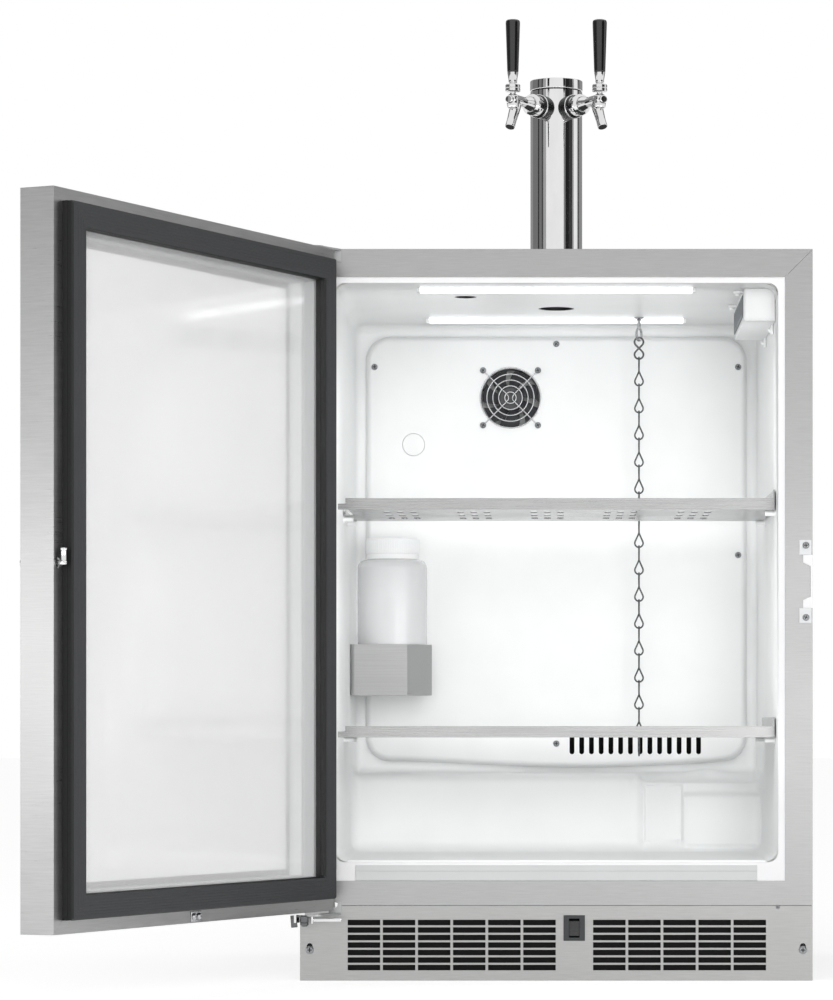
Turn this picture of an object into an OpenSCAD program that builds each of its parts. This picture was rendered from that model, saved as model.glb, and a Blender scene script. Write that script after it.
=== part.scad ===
// Draft beer dispenser: an undercounter cooler with a glass door, a twin-tap tower,
// two shelves, a drain bottle and a hanging chain. X runs across, Y runs from the face
// frame to the back, Z runs up from the floor. The door stands open.

/* [Cabinet] */
// Width of the cabinet
cab_w = 606; // [598:1:614]
// Height of the cabinet above the floor
cab_h = 865; // [855:1:875]
// Depth of the cabinet behind its face
cab_d = 575; // [570:1:590]
// Thickness of the painted outer sheet
shell_t = 1.2; // [0.8:0.1:1.6]
// Height of the base pan's underside above the floor
pan_z = 22; // [20:1:24]
// Thickness of the insulated roof, from its outer sheet to the ceiling
roof_t = 40; // [36:1:44]
// Running and sliding gap between separate pieces
fit = 0.2; // [0.15:0.05:0.3]

/* [Face frame and grille] */
// Thickness of the stainless sheet
sheet_t = 1.5; // [1.2:0.1:1.8]
// Width of the two stiles
stile_w = 32.5; // [30:0.5:34]
// Height of the top rail
top_rail_h = 33; // [31:0.5:35]
// Height of the rail under the cavity
bottom_rail_h = 29; // [27:0.5:31]
// Height of the grille panel, up to its seam
grille_h = 89; // [86:0.5:90]
// Depth of the folded edges
return_d = 20; // [16:1:22]
// Width of one louvre slot
slot_w = 38.4; // [36:0.2:39]
// Height of one louvre slot
slot_h = 6.5; // [5.5:0.1:7]
// Spacing of the louvre columns
slot_pitch_x = 41.5; // [41:0.1:42]
// Spacing of the louvre rows
slot_pitch_z = 8.87; // [8.6:0.01:9]
// Louvre rows
slot_rows = 7; // [5:1:7]

/* [Cavity] */
// Thickness of an insulated side wall, from the cabinet's side to the cavity
side_wall = 40.5; // [39:0.5:42]
// Thickness of the insulated back wall, from the cavity to the cabinet's back
back_wall = 55; // [50:1:60]
// Height of the cavity floor
floor_z = 140; // [138:0.5:142]
// Depth of the step's ledge, from its edge to the back of the cavity
step_d = 155; // [150:1:165]
// Height of the step's ledge
step_z = 240; // [236:0.5:241]
// Wall of the moulded liner
liner_t = 2.5; // [2:0.1:3]
// Distance of the evaporator cover's face from the back of the cavity
cover_d = 50; // [48:1:54]
// Distance of the evaporator cover's sides from the side walls
cover_inset = 13.75; // [12:0.25:18]
// Wall of the evaporator cover
cover_t = 2.5; // [2:0.1:3]

/* [Door] */
// Width of the door
door_w = 600; // [594:1:601]
// Thickness of the door without its gasket
door_t = 41; // [39:0.5:43]
// Angle at which the door stands open
door_open = 115.6; // [100:0.1:116]
// Width of the bare steel margin outside the gasket
door_margin = 16.3; // [15:0.1:18]
// Width of the gasket's face
gasket_w = 26.5; // [24:0.5:28]
// Thickness of the gasket and its carrier together
gasket_t = 14; // [13:0.5:15]
// Distance of the hinge pin from the door's edge
pin_inset = 18.2; // [17:0.1:18.4]
// Distance of the hinge pin in front of the cabinet face
pin_out = 29.6; // [29.4:0.1:31]
// Radius of the hinge pins
pin_r = 4; // [3:0.1:4.5]
// Thickness of one pane of glass
pane_t = 4; // [3:0.5:5]

/* [Shelves] */
// Height of the upper shelf's underside
upper_shelf_z = 559.5; // [550:0.5:565]
// Height of the lower shelf's underside
lower_shelf_z = 287.3; // [284:0.5:295]
// Gap between a shelf and each side wall
shelf_gap = 1.75; // [1.5:0.25:3]
// Depth of a shelf, from front to back
shelf_d = 264; // [255:1:268]
// Distance from the cabinet face to a shelf's front lip
shelf_y = 45; // [42:1:48]
// Height of a shelf's front lip
lip_h = 13.5; // [12:0.5:15]

/* [Drain bottle] */
// Radius of the bottle
bottle_r = 44.9; // [42:0.1:46]
// Height of the bottle up to its neck
bottle_h = 173; // [165:1:176]
// Radius of the bottle's cap
cap_r = 34.5; // [33:0.5:36]
// Height of the bracket's base above the floor
bracket_z = 340; // [338:0.5:344]
// Height of the bracket's band
bracket_h = 65; // [60:1:70]

/* [Chain] */
// Place of the chain across the cavity
chain_x = 106; // [102:0.5:110]
// Depth of the chain behind the step's face
chain_d = 23; // [19:0.5:25]
// Radius of the chain's wire
wire_r = 0.9; // [0.8:0.05:1]
// Radius of the round end of a link's loop
loop_r = 5.3; // [5:0.1:5.6]
// Length of one link between the middles of its end wires
link_l = 36.5; // [35:0.1:38]
// Least height of the chain's last link above the ledge
chain_gap = 40; // [30:1:45]

/* [Tower and taps] */
// Distance of the tower's axis behind the cabinet face
tower_y = 287; // [280:1:295]
// Outer radius of the tower's column
column_r = 32.5; // [31:0.5:33]
// Height of the tower above the cabinet, with its cap
tower_h = 247; // [240:1:255]
// Height of the tower's cap
cap_h = 13; // [11:0.5:15]
// Radius of the passage through the roof under the tower
passage_r = 20; // [18:0.5:21]
// Radius of the drain port through the roof
port_r = 11.5; // [10:0.5:12]
// Angle of each tap to the left or right of straight ahead
tap_angle = 29.7; // [27:0.1:33]
// Distance of a tap's lever from the tower's axis
tap_reach = 108; // [105:0.5:112]
// Length of a tap's black handle
handle_l = 64; // [58:1:70]
// Top radius of a tap's handle
handle_r = 8.9; // [8:0.1:9.5]

/* [Fans] */
// Side of the evaporator fan's frame
fan_size = 80; // [78:0.5:82]
// Side of the condenser fan's frame
condenser_fan_size = 70; // [66:0.5:72]
// Blades on a fan
blades = 7; // [5:1:9]

/* [Hidden] */
$fn = 64;

// Cabinet and cavity
half_w = cab_w / 2;
shell_x = half_w - sheet_t - fit;
shell_top = cab_h - sheet_t - fit;
shell_y = sheet_t + fit;
ceiling_z = shell_top - roof_t + sheet_t + fit;
frame_z = grille_h;
open_x = half_w - stile_w;
open_z0 = grille_h + bottom_rail_h;
open_z1 = cab_h - top_rail_h;
wall_x = half_w - side_wall;
cavity_d = cab_d - back_wall;
step_y = cavity_d - step_d;
strip_y = 12;
liner_y = strip_y + 0.1;
foam_gap = 0.1;
foam_floor_t = 37;
bay_y = step_y + 30;
bay_top = step_z - 28;
rear_seam = bay_top;
cove_r = 13;
edge_r = 10;
ceiling_fillet = 12;
ledge_fillet = 5;

// Evaporator cover and fans
cover_x = wall_x - cover_inset;
cover_y = cavity_d - cover_d;
cover_top = ceiling_z - 15.8;
cover_bottom = step_z + 6.3;
cover_side_bottom = cover_bottom + 8.4;
cover_corner = 32;
fan_x = -59.7;
fan_z = ceiling_z - 96.5;
fan_depth = 25;
fan_hole = fan_size / 2 * 0.955;
guard_wire = 0.9;
guard_y = cover_y - 3 * guard_wire - 0.1;
guard_rings = [7.4, 15.4, 23, 30.7, 39.2];
screw_pitch_share = 71.5 / 80;
guard_screw = fan_size * screw_pitch_share / 2;
shaft_r = 2;
shaft_gap = 0.05;
vent_count = 14;
vent_x = 20.4;
vent_pitch = 12.7;
vent_w = 6.3;
vent_z = cover_bottom + 17.7;
vent_h = 34;
cover_screw_x = cover_x - 11.75;
cover_screw_z = cover_bottom + 277.4;
cover_screw_at = [
    [-cover_screw_x, cover_top - 40.4], [cover_screw_x, cover_top - 40.4], [0, cover_top - 10.4],
    [-cover_screw_x, cover_screw_z], [cover_screw_x, cover_screw_z], [0, cover_bottom + 31.6]
];
plug_x = -cover_x + 62.75;
plug_z = ceiling_z - 157.4;
plug_r = 14.8;
coil_inset = 52;
coil_z0 = vent_z + vent_h + 32;
coil_z1 = fan_z - fan_size / 2 - 88.5;
coil_pitch = 8;

// Lamps, control housing and the moulding's panel, dam and boss
lamp_x = wall_x - 97.5;
lamp_w = 14;
lamp_h = 5.5;
lamp_at = [shelf_y + 7, cover_y - 70];
control_x = wall_x - 38;
control_z = ceiling_z - 39.5;
control_y = shelf_y + 9;
control_l = 231;
control_t = 2.5;
clip_w = 12;
clip_at = [26, 186];
raised_x0 = wall_x - 103.5;
raised_x1 = wall_x - 7.5;
raised_d = 8;
dam_x = wall_x - 14.5;
dam_y = 14;
dam_d = 10;
dam_h = 2.5;
boss_x = wall_x - 162.5;
boss_r = 9;
sill_x = wall_x - 25;

// Screws
head_r = 3.6;
head_h = 2;
screw_r = 1.6;
screw_hole = 1.8;
screw_l = 9;
grille_screw_x = half_w - 11.5;
grille_screw_z = 36.3;
grille_head_r = 4.6;

// Condenser bay
condenser_fan_x = 145;
condenser_fan_y = 80;
condenser_x = -shell_x + 61.3;
condenser_l = 226;
condenser_y = 45;
condenser_d = 50;
condenser_pitch = 6;
louvre_pitch = 26;
louvre_w = 16;
louvre_h = 6;
gland_x = -200;
gland_z = pan_z + 40;
gland_r = 9;
cord_r = 3.6;
compressor_x = 130;
compressor_r = 72;
compressor_h = 150;
compressor_y = (bay_y + cab_d) / 2;
mount_h = 12;
foot_inset_x = 33;
foot_inset_y = 45;
foot_at = [for (x = [-half_w + foot_inset_x, half_w - foot_inset_x],
    y = [foot_inset_y, cab_d - foot_inset_y]) [x, y]];
foot_r = 16;
stud_r = 5;

// Door, in its closed place
door_x0 = -half_w + 1;
door_x1 = door_x0 + door_w;
door_z0 = grille_h - 5;
door_z1 = cab_h - 3;
seal_gap = 0.3;
door_in = -seal_gap - gasket_t;
door_out = door_in - door_t;
skin_t = 1.2;
skin_face_w = 50;
rebate = 10;
sight = door_margin + gasket_w;
spacer_t = 14;
glass_t = 2 * pane_t + spacer_t;
carrier_t = 6.5;
seal_groove = 1.5;
pin_x = door_x0 + pin_inset;
pin_y = -pin_out;
gasket_z0 = door_z0 + 14.7;
gasket_z1 = door_z1 - 13.6;
hinge_plate_t = 3;
bracket_t = 2.5;
bracket_x1 = -half_w + 49;
lock_x = door_x1 - 8.5;
lock_z = (door_z0 + door_z1) / 2 - 2;
lock_shaft_r = 3;

// Switch
switch_x = 21.2;
switch_z = 62.2;
bezel_w = 25.3;
bezel_h = 30.2;
rocker_w = 11.8;
rocker_r = 10.8;
rocker_tilt = 8;
rocker_y = 5;

// Strike beside the opening
strike_z = lock_z + 0.9;
strike_half = 31.4;
strike_x0 = half_w - 11.3;
tab_w = 14;
tab_h = 17.3;

// Shelves
plate_t = 1.5;
notch_w = 12;
notch_y = 145;
flange_h = 24;
peg_r = 3;
rest_gap = 0.3;
slot_groups = [for (i = [-2:2]) i * 89 - 11];

// Drain bottle and its bracket
bottle_x = -wall_x + bottle_r + 7;
bottle_y = step_y + 35;
bracket_t2 = 1.5;
band_y = bottle_y - bottle_r - 4.5;
bend_r = 6;
bottle_z = bracket_z + bracket_t2 + 0.05;
bottle_t = 1.5;
neck_r = cap_r - 2.2;

// Chain
chain_y = step_y + chain_d;
eye_r = 8;
eye_wire = 1.6;
eye_z = ceiling_z - 22;
hook_wire = 1.25;
hook_r = 5.7;
hook_l = 27.5;
hook_top = eye_z - eye_r + eye_wire + hook_wire + 0.1;
touch = 0.15;
first_link = hook_top - hook_l + hook_wire + wire_r + touch;
link_pitch = link_l - 2 * wire_r - touch;
links = floor((first_link - link_l - step_z - chain_gap) / link_pitch) + 1;
last_link = first_link - link_pitch * (links - 1) - link_l;
ring_steps = 14;
wire_sides = 6;

// Tower and taps
flange_r = 57;
flange_h2 = 6;
column_t = 1.5;
tower_top = shell_top + tower_h;
column_top = tower_top - cap_h;
tap_z = tower_top - 37.4;
collar_r = 14.5;
collar_l = 21;
nut_r = 13.2;
nut_l = 14;
collar_end = column_r - 1.5 + collar_l;
nut_end = collar_end + nut_l;
pivot_z = tap_z;
dome_r = 7.5;
ball_r = 5.2;
lever_z = pivot_z + 9.1;
ferrule_z = lever_z + 9.8;
handle_z = ferrule_z + 14.6;
spout_tilt = 27;
spout_l = 34;
spout_r = 6.2;
port_x = -111;
port_y = 154;

// Box between two corners
module slab(x0, x1, y0, y1, z0, z1) {
    translate([x0, y0, z0]) cube([x1 - x0, y1 - y0, z1 - z0]);
}

// Outline drawn in Y and Z, drawn out along X
module across(x0, x1) {
    translate([x0, 0, 0]) rotate([90, 0, 90]) linear_extrude(x1 - x0) children();
}

// Outline drawn in X and Z, drawn out along Y
module deep(y0, y1) {
    translate([0, y1, 0]) rotate([90, 0, 0]) linear_extrude(y1 - y0) children();
}

// Rod along Y
module rod_y(x, z, r, y0, y1) {
    translate([x, y0, z]) rotate([-90, 0, 0]) cylinder(r = r, h = y1 - y0);
}

// Rectangle with round corners, between two corners
module round_rect(x0, x1, z0, z1, r) {
    translate([x0 + r, z0]) square([x1 - x0 - 2 * r, z1 - z0]);
    translate([x0, z0 + r]) square([x1 - x0, z1 - z0 - 2 * r]);
    for (x = [x0 + r, x1 - r], z = [z0 + r, z1 - r]) translate([x, z]) circle(r);
}

module rect(x0, x1, z0, z1) translate([x0, z0]) square([x1 - x0, z1 - z0]);

function arc(cx, cy, r, a0, a1, n = 6) =
    [for (i = [0:n]) let (a = a0 + (a1 - a0) * i / n) [cx + r * cos(a), cy + r * sin(a)]];

// Pan-head screw lying along Y, its head in front
module screw_y(x, y, z, r = head_r, l = screw_l) {
    difference() {
        union() {
            rod_y(x, z, r, y - head_h, y);
            rod_y(x, z, screw_r, y - 0.5, y + l);
        }
        for (a = [0, 90]) translate([x, y - head_h, z]) rotate([0, a, 0])
            cube([r * 1.1, head_h, r * 0.3], center = true);
    }
}

// Cavity outline in Y and Z, grown outwards by e, open at the front from y0
function cavity_outline(e, y0) = concat(
    [[y0, floor_z - e]],
    arc(step_y - cove_r, floor_z + cove_r, cove_r + e, -90, 0),
    arc(step_y + edge_r, step_z - edge_r, edge_r - e, 180, 90),
    arc(cavity_d - ledge_fillet, step_z + ledge_fillet, ledge_fillet + e, -90, 0),
    arc(cavity_d - ceiling_fillet, ceiling_z - ceiling_fillet, ceiling_fillet + e, 0, 90),
    [[y0, ceiling_z + e]]
);

// Holes through the roof for the tower's passage and the drain port
module roof_holes(gap, z0, z1) {
    translate([0, tower_y, z0]) cylinder(r = passage_r + 2.5 + gap, h = z1 - z0);
    translate([port_x, port_y, z0]) cylinder(r = port_r + 2 + gap, h = z1 - z0);
}

// Outer sheets: two side panels, the top panel between them and the back panel above the bay
module cabinet_shell() color("#2b2c2e") {
    inner_x = shell_x - shell_t;
    for (s = [-1, 1]) slab(min(s * inner_x, s * shell_x), max(s * inner_x, s * shell_x), shell_y,
        cab_d, pan_z, shell_top);
    difference() {
        slab(-inner_x, inner_x, shell_y, cab_d, shell_top - shell_t, shell_top);
        roof_holes(fit, shell_top - 2 * shell_t, shell_top + 1);
        for (a = [45:90:315]) translate([0, tower_y, shell_top - 2 * shell_t])
            rotate(a) translate([46, 0, 0]) cylinder(r = screw_hole, h = 4 * shell_t);
    }
    slab(-inner_x, inner_x, cab_d - shell_t, cab_d, rear_seam, shell_top - shell_t);
}

module rear_cover() color("#3a3b3d") difference() {
    slab(-shell_x + shell_t + fit, shell_x - shell_t - fit, cab_d - shell_t, cab_d, pan_z + 2,
        rear_seam - fit);
    for (i = [-9:9], drop = [60, 45])
        slab(i * louvre_pitch - louvre_w / 2, i * louvre_pitch + louvre_w / 2, cab_d - 3, cab_d + 1,
            rear_seam - drop, rear_seam - drop + louvre_h);
    rod_y(gland_x, gland_z, gland_r + fit, cab_d - 3, cab_d + 1);
}

module cord_gland() color("#1b1b1c") difference() {
    union() {
        rod_y(gland_x, gland_z, gland_r, cab_d - 8, cab_d + 6);
        rod_y(gland_x, gland_z, gland_r + 4, cab_d + 0.05, cab_d + 4);
    }
    rod_y(gland_x, gland_z, cord_r, cab_d - 9, cab_d + 7);
}

module base_pan() color("#8c8e90") difference() {
    slab(-shell_x + shell_t + fit, shell_x - shell_t - fit, return_d + 3, cab_d - 2 * shell_t,
        pan_z, pan_z + 20);
    slab(-shell_x + shell_t + 2, shell_x - shell_t - 2, return_d + 4.5, cab_d - 2 * shell_t - 1.5,
        pan_z + sheet_t, pan_z + 21);
    for (p = foot_at) translate([p[0], p[1], pan_z - 1]) cylinder(r = stud_r + fit, h = 4);
}

module levelling_feet() color("#2a2a2b") for (p = foot_at) translate([p[0], p[1], 0]) {
    cylinder(r = foot_r, h = 5);
    translate([0, 0, 4]) cylinder(r1 = foot_r - 3, r2 = 8, h = 5);
    translate([0, 0, 8]) cylinder(r = stud_r, h = pan_z + 12);
    translate([0, 0, pan_z - 7]) cylinder(r = 9, h = 7 - 0.05, $fn = 6);
    translate([0, 0, pan_z + sheet_t + 0.05]) cylinder(r = 9, h = 6, $fn = 6);
}

// Foam blocks round the cavity: two sides, roof, back, ledge, step and floor
module insulation_foam() color("#e8dca8") {
    x0 = wall_x + liner_t + foam_gap;
    x1 = shell_x - shell_t - foam_gap;
    y1 = cab_d - shell_t - foam_gap;
    z0 = floor_z - liner_t - foam_floor_t;
    z1 = shell_top - shell_t - foam_gap;
    back = cavity_d - ceiling_fillet;
    for (s = [-1, 1]) {
        slab(min(s * x0, s * x1), max(s * x0, s * x1), liner_y, y1, bay_top, z1);
        slab(min(s * x0, s * x1), max(s * x0, s * x1), liner_y, bay_y, z0, bay_top);
    }
    difference() {
        slab(-x0, x0, liner_y, y1, ceiling_z + liner_t + foam_gap, z1);
        roof_holes(fit, ceiling_z - 1, shell_top + 1);
    }
    for (block = [
        [back, y1, step_z - liner_t - foam_gap, ceiling_z + liner_t + foam_gap],
        [step_y - cove_r, y1, bay_top, step_z - liner_t - foam_gap],
        [step_y - cove_r, bay_y, floor_z - liner_t - foam_gap, bay_top],
        [liner_y, bay_y, z0, floor_z - liner_t - foam_gap]
    ]) difference() {
        slab(-x0, x0, block[0], block[1], block[2], block[3]);
        across(-x0 - 1, x0 + 1) polygon(cavity_outline(liner_t + foam_gap, liner_y - 1));
    }
}

module inner_liner() color("#f4f6f8") difference() {
    union() {
        difference() {
            across(-wall_x - liner_t, wall_x + liner_t) polygon(cavity_outline(liner_t, liner_y));
            across(-wall_x, wall_x) polygon(cavity_outline(0, liner_y - 1));
        }
        // raised panel on the step, the dam at the front of the floor and the drain boss
        slab(raised_x0, raised_x1, step_y - raised_d, step_y + 0.2, floor_z + 5, step_z - 19);
        slab(-dam_x, dam_x, dam_y, dam_y + dam_d, floor_z - 1, floor_z + dam_h);
        intersection() {
            translate([boss_x, step_y, step_z - 28]) cylinder(r = boss_r, h = 24);
            slab(boss_x - 20, boss_x + 20, step_y - 10, step_y + 1, step_z - 30, step_z);
        }
    }
    roof_holes(fit, ceiling_z - 1, ceiling_z + 2 * liner_t);
}

// Four strips round the mouth of the cavity, mitred at the corners
module breaker_strip() color("#fbfcfd") {
    x = open_x + 4;
    z0 = open_z0 - 4;
    z1 = open_z1 + 4;
    reach = 40;
    for (s = [
        [[-x, z0], [x, z0], [x - reach, z0 + reach], [-x + reach, z0 + reach]],
        [[x, z0], [x, z1], [x - reach, z1 - reach], [x - reach, z0 + reach]],
        [[x, z1], [-x, z1], [-x + reach, z1 - reach], [x - reach, z1 - reach]],
        [[-x, z1], [-x, z0], [-x + reach, z0 + reach], [-x + reach, z1 - reach]]
    ]) deep(shell_y + 0.3, strip_y) difference() {
        polygon(s);
        round_rect(-wall_x, wall_x, floor_z, ceiling_z, 12);
    }
}

module threshold_plate() color("#d9dbda") difference() {
    slab(-sill_x, sill_x, 0.5, shell_y + 0.2, open_z0 + fit, floor_z - 3.5);
    slab(-sill_x - 1, sill_x + 1, 0, 0.8, open_z0 + 11, open_z0 + 11.6);
}

// Face of the frame, with the top rail mitred into the stiles
module frame_sheet() {
    deep(0, sheet_t) difference() {
        rect(-half_w, half_w, frame_z, cab_h);
        rect(-open_x, open_x, open_z0, open_z1);
    }
    deep(0, return_d) difference() {
        rect(-half_w, half_w, frame_z, cab_h);
        rect(-half_w + sheet_t, half_w - sheet_t, frame_z - 1, cab_h - sheet_t);
    }
}

module mitre_wedge(drop) deep(-1, return_d + 1) polygon([
    [-half_w - 1, cab_h + 1 - drop], [-open_x, open_z1 - drop], [open_x, open_z1 - drop],
    [half_w + 1, cab_h + 1 - drop], [half_w + 1, cab_h + 5], [-half_w - 1, cab_h + 5]
]);

module face_frame() color("#b9bbbc") {
    intersection() { frame_sheet(); mitre_wedge(0); }
    difference() { frame_sheet(); mitre_wedge(0.35); }
}

module grille_panel() color("#b9bbbc") {
    top = grille_h - 0.4;
    difference() {
        union() {
            deep(0, sheet_t) rect(-half_w, half_w, 0, top);
            for (s = [-1, 1]) slab(s > 0 ? half_w - sheet_t : -half_w,
                s > 0 ? half_w : -half_w + sheet_t, 0, return_d, 0, top);
            slab(-half_w, half_w, 0, 14, 0, sheet_t);
        }
        for (g = [[-246.6, 6], [43.5, 5]], c = [0:g[1] - 1], r = [0:slot_rows - 1])
            slab(g[0] + c * slot_pitch_x, g[0] + c * slot_pitch_x + slot_w, -1, sheet_t + 1,
                grille_h - 17.1 - slot_h - r * slot_pitch_z, grille_h - 17.1 - r * slot_pitch_z);
        slab(switch_x - bezel_w / 2 + 1.8, switch_x + bezel_w / 2 - 1.8, -1, sheet_t + 1,
            switch_z - bezel_h / 2 + 1.8, switch_z + bezel_h / 2 - 1.8);
        for (s = [-1, 1]) {
            rod_y(s * grille_screw_x, grille_screw_z, screw_hole, -1, sheet_t + 1);
            rod_y(s * grille_screw_x, grille_screw_z + 4.4, 3.4, -1, sheet_t + 1);
        }
    }
}

module screws() color("#8d9092") {
    for (p = cover_screw_at) screw_y(p[0], cover_y - 0.05, p[1]);
    for (sx = [-1, 1], sz = [-1, 1])
        screw_y(fan_x + sx * guard_screw, cover_y - 2.1, fan_z + sz * guard_screw, 3.2, screw_l);
    for (s = [-1, 1]) screw_y(s * grille_screw_x, -0.05, grille_screw_z, grille_head_r);
    for (s = [-1, 1]) screw_y(strike_x0 + 3.3, -2.05, strike_z + s * (strike_half + 11.2), head_r, 1.8);
    for (a = [45:90:315]) translate([0, tower_y, shell_top + flange_h2 + 0.05]) rotate(a)
        translate([46, 0, 0]) {
            cylinder(r = 4.2, h = 2.6);
            translate([0, 0, -flange_h2 - shell_t]) cylinder(r = screw_r, h = flange_h2 + 2);
        }
}

module switch_housing() color("#2d2e30") difference() {
    union() {
        slab(switch_x - bezel_w / 2, switch_x + bezel_w / 2, -1.6, -0.05,
            switch_z - bezel_h / 2, switch_z + bezel_h / 2);
        slab(switch_x - bezel_w / 2 + 2, switch_x + bezel_w / 2 - 2, -1, 18,
            switch_z - bezel_h / 2 + 2, switch_z + bezel_h / 2 - 2);
    }
    slab(switch_x - rocker_w / 2 - 0.4, switch_x + rocker_w / 2 + 0.4, -2, 16,
        switch_z - rocker_r - 0.5, switch_z + rocker_r + 0.5);
}

module switch_rocker() color("#151617")
    translate([0, rocker_y, switch_z]) rotate([rocker_tilt, 0, 0])
        across(switch_x - rocker_w / 2, switch_x + rocker_w / 2) intersection() {
            circle(rocker_r);
            polygon([[-7.5, -12], [-5.6, -2.5], [-5.6, 0], [-7.5, 12], [6, 12], [6, -12]]);
        }

module compressor() color("#1d1e20") {
    z0 = pan_z + sheet_t + mount_h;
    translate([compressor_x, compressor_y, z0]) {
        rotate_extrude() polygon(concat([[0, 3], [compressor_r - 6, 3], [compressor_r, 12]],
            arc(compressor_r - 40, compressor_h - 45, 40, 0, 70), [[0, compressor_h]]));
        slab(-78, 78, -60, 60, 0.05, 4);
    }
    slab(compressor_x - compressor_r - 26, compressor_x - compressor_r + 4, compressor_y - 22,
        compressor_y + 22, z0 + 45, z0 + 100);
}

module compressor_mounts() color("#262626") for (x = [-68, 68], y = [-50, 50])
    translate([compressor_x + x, compressor_y + y, pan_z + sheet_t + 0.05])
        cylinder(r = 8, h = mount_h - 0.05);

// Block of upright fins on a back plate, with hairpin bends at both ends
module finned_coil(x0, x1, y0, y1, z0, z1, pitch) {
    n = floor((x1 - x0) / pitch);
    translate([0, 0, z0]) linear_extrude(z1 - z0) polygon(concat(
        [[x0, y1], [x0, y0]],
        [for (i = [0:n - 1], k = [0:3]) [x0 + i * pitch + (k == 0 || k == 1 ? 2 : pitch),
            k == 0 || k == 3 ? y0 : y1 - 4]],
        [[x0 + n * pitch + 2, y0], [x0 + n * pitch + 2, y1]]
    ));
    rows = floor((z1 - z0 - 12) / 28);
    sunk = 0.5;
    for (r = [0:rows - 1], s = [0, 1])
        translate([s ? x0 + n * pitch + 2 - sunk : x0 + sunk, (y0 + y1) / 2 + 3, z0 + 14 + 28 * r])
            rotate([90, 0, 0]) rotate([0, 0, s ? -90 : 90])
                rotate_extrude(angle = 180) translate([8, 0]) circle(4, $fn = 24);
}

module condenser_coil() color("#5f4634")
    finned_coil(condenser_x, condenser_x + condenser_l, condenser_y, condenser_y + condenser_d,
        pan_z + sheet_t + 0.05, floor_z - liner_t - foam_floor_t - 8, condenser_pitch);

module evaporator_coil() color("#c2c5c8")
    finned_coil(-cover_x + coil_inset, cover_x - coil_inset, cavity_d - 33, cavity_d - 0.3,
        coil_z0, coil_z1, coil_pitch);

// Square fan frame about the Y axis: ring, struts and a hub with the shaft's bore
module fan_frame(size, depth) {
    r = size / 2 * 0.955;
    difference() {
        union() {
            deep(0, depth) difference() {
                round_rect(-size / 2, size / 2, -size / 2, size / 2, 4);
                circle(r);
            }
            rod_y(0, 0, 17, depth - 6, depth);
            for (a = [0:90:270]) rotate([0, a + 20, 0])
                slab(15, r + 0.8, depth - 4, depth - 1, -2, 2);
        }
        rod_y(0, 0, shaft_r + shaft_gap, -1, depth + 1);
        for (x = [-1, 1], z = [-1, 1])
            rod_y(x * size * screw_pitch_share / 2, z * size * screw_pitch_share / 2, screw_hole,
                -1, depth + 1);
    }
}

// Fan rotor about the Y axis, with pitched blades on a hub
module fan_rotor(size, depth) {
    r = size / 2 * 0.955 - 1.2;
    rod_y(0, 0, shaft_r, 2, depth - 0.5);
    rod_y(0, 0, size * 0.19, 2, depth - 6.6);
    intersection() {
        for (i = [0:blades - 1]) rotate([0, i * 360 / blades, 0])
            translate([size * 0.17, depth / 2 - 2, 0]) rotate([38, 0, 0])
                translate([0, -0.8, -size * 0.12]) cube([r, 1.6, size * 0.24]);
        rod_y(0, 0, r, 2.2, depth - 6.7);
    }
}

module fan_frames() color("#2f3032") {
    translate([fan_x, cover_y + cover_t + 0.05, fan_z]) fan_frame(fan_size, fan_depth);
    translate([condenser_fan_x, condenser_fan_y, pan_z + sheet_t + 0.1 + condenser_fan_size / 2])
        fan_frame(condenser_fan_size, fan_depth);
}

module condenser_fan_blade() color("#3c3d3f")
    translate([condenser_fan_x, condenser_fan_y, pan_z + sheet_t + 0.1 + condenser_fan_size / 2])
        fan_rotor(condenser_fan_size, fan_depth);

module evaporator_fan_blade() color("#4a4b4d")
    translate([fan_x, cover_y + cover_t + 0.05, fan_z]) fan_rotor(fan_size, fan_depth);

// Outline of the evaporator cover, drawn in by e; its lower edge dips to the middle
function cover_outline(e) = concat(
    arc(-cover_x + cover_corner, cover_side_bottom + cover_corner, cover_corner - e, 180, 270),
    [[-50, cover_bottom + e], [106, cover_bottom + e]],
    arc(cover_x - cover_corner, cover_side_bottom + cover_corner, cover_corner - e, 270, 360),
    arc(cover_x - cover_corner, cover_top - cover_corner, cover_corner - e, 0, 90),
    arc(-cover_x + cover_corner, cover_top - cover_corner, cover_corner - e, 90, 180)
);

module evaporator_cover() color("#f3f5f7") difference() {
    deep(cover_y, cavity_d - 0.3) polygon(cover_outline(0));
    deep(cover_y + cover_t, cavity_d + 1) polygon(cover_outline(cover_t));
    rod_y(fan_x, fan_z, fan_hole, cover_y - 1, cover_y + cover_t + 1);
    for (i = [0:vent_count - 1]) deep(cover_y - 1, cover_y + cover_t + 1)
        round_rect(vent_x + i * vent_pitch - vent_w / 2, vent_x + i * vent_pitch + vent_w / 2,
            vent_z, vent_z + vent_h, vent_w / 2 - 0.05);
    for (p = cover_screw_at) rod_y(p[0], p[1], screw_hole, cover_y - 1, cover_y + cover_t + 1);
    for (x = [-1, 1], z = [-1, 1])
        rod_y(fan_x + x * guard_screw, fan_z + z * guard_screw, screw_hole, cover_y - 1,
            cover_y + cover_t + 1);
    deep(cover_y - 1, cover_y + 0.3) translate([plug_x, plug_z]) difference() {
        circle(plug_r);
        circle(plug_r - 0.5);
    }
}

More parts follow.
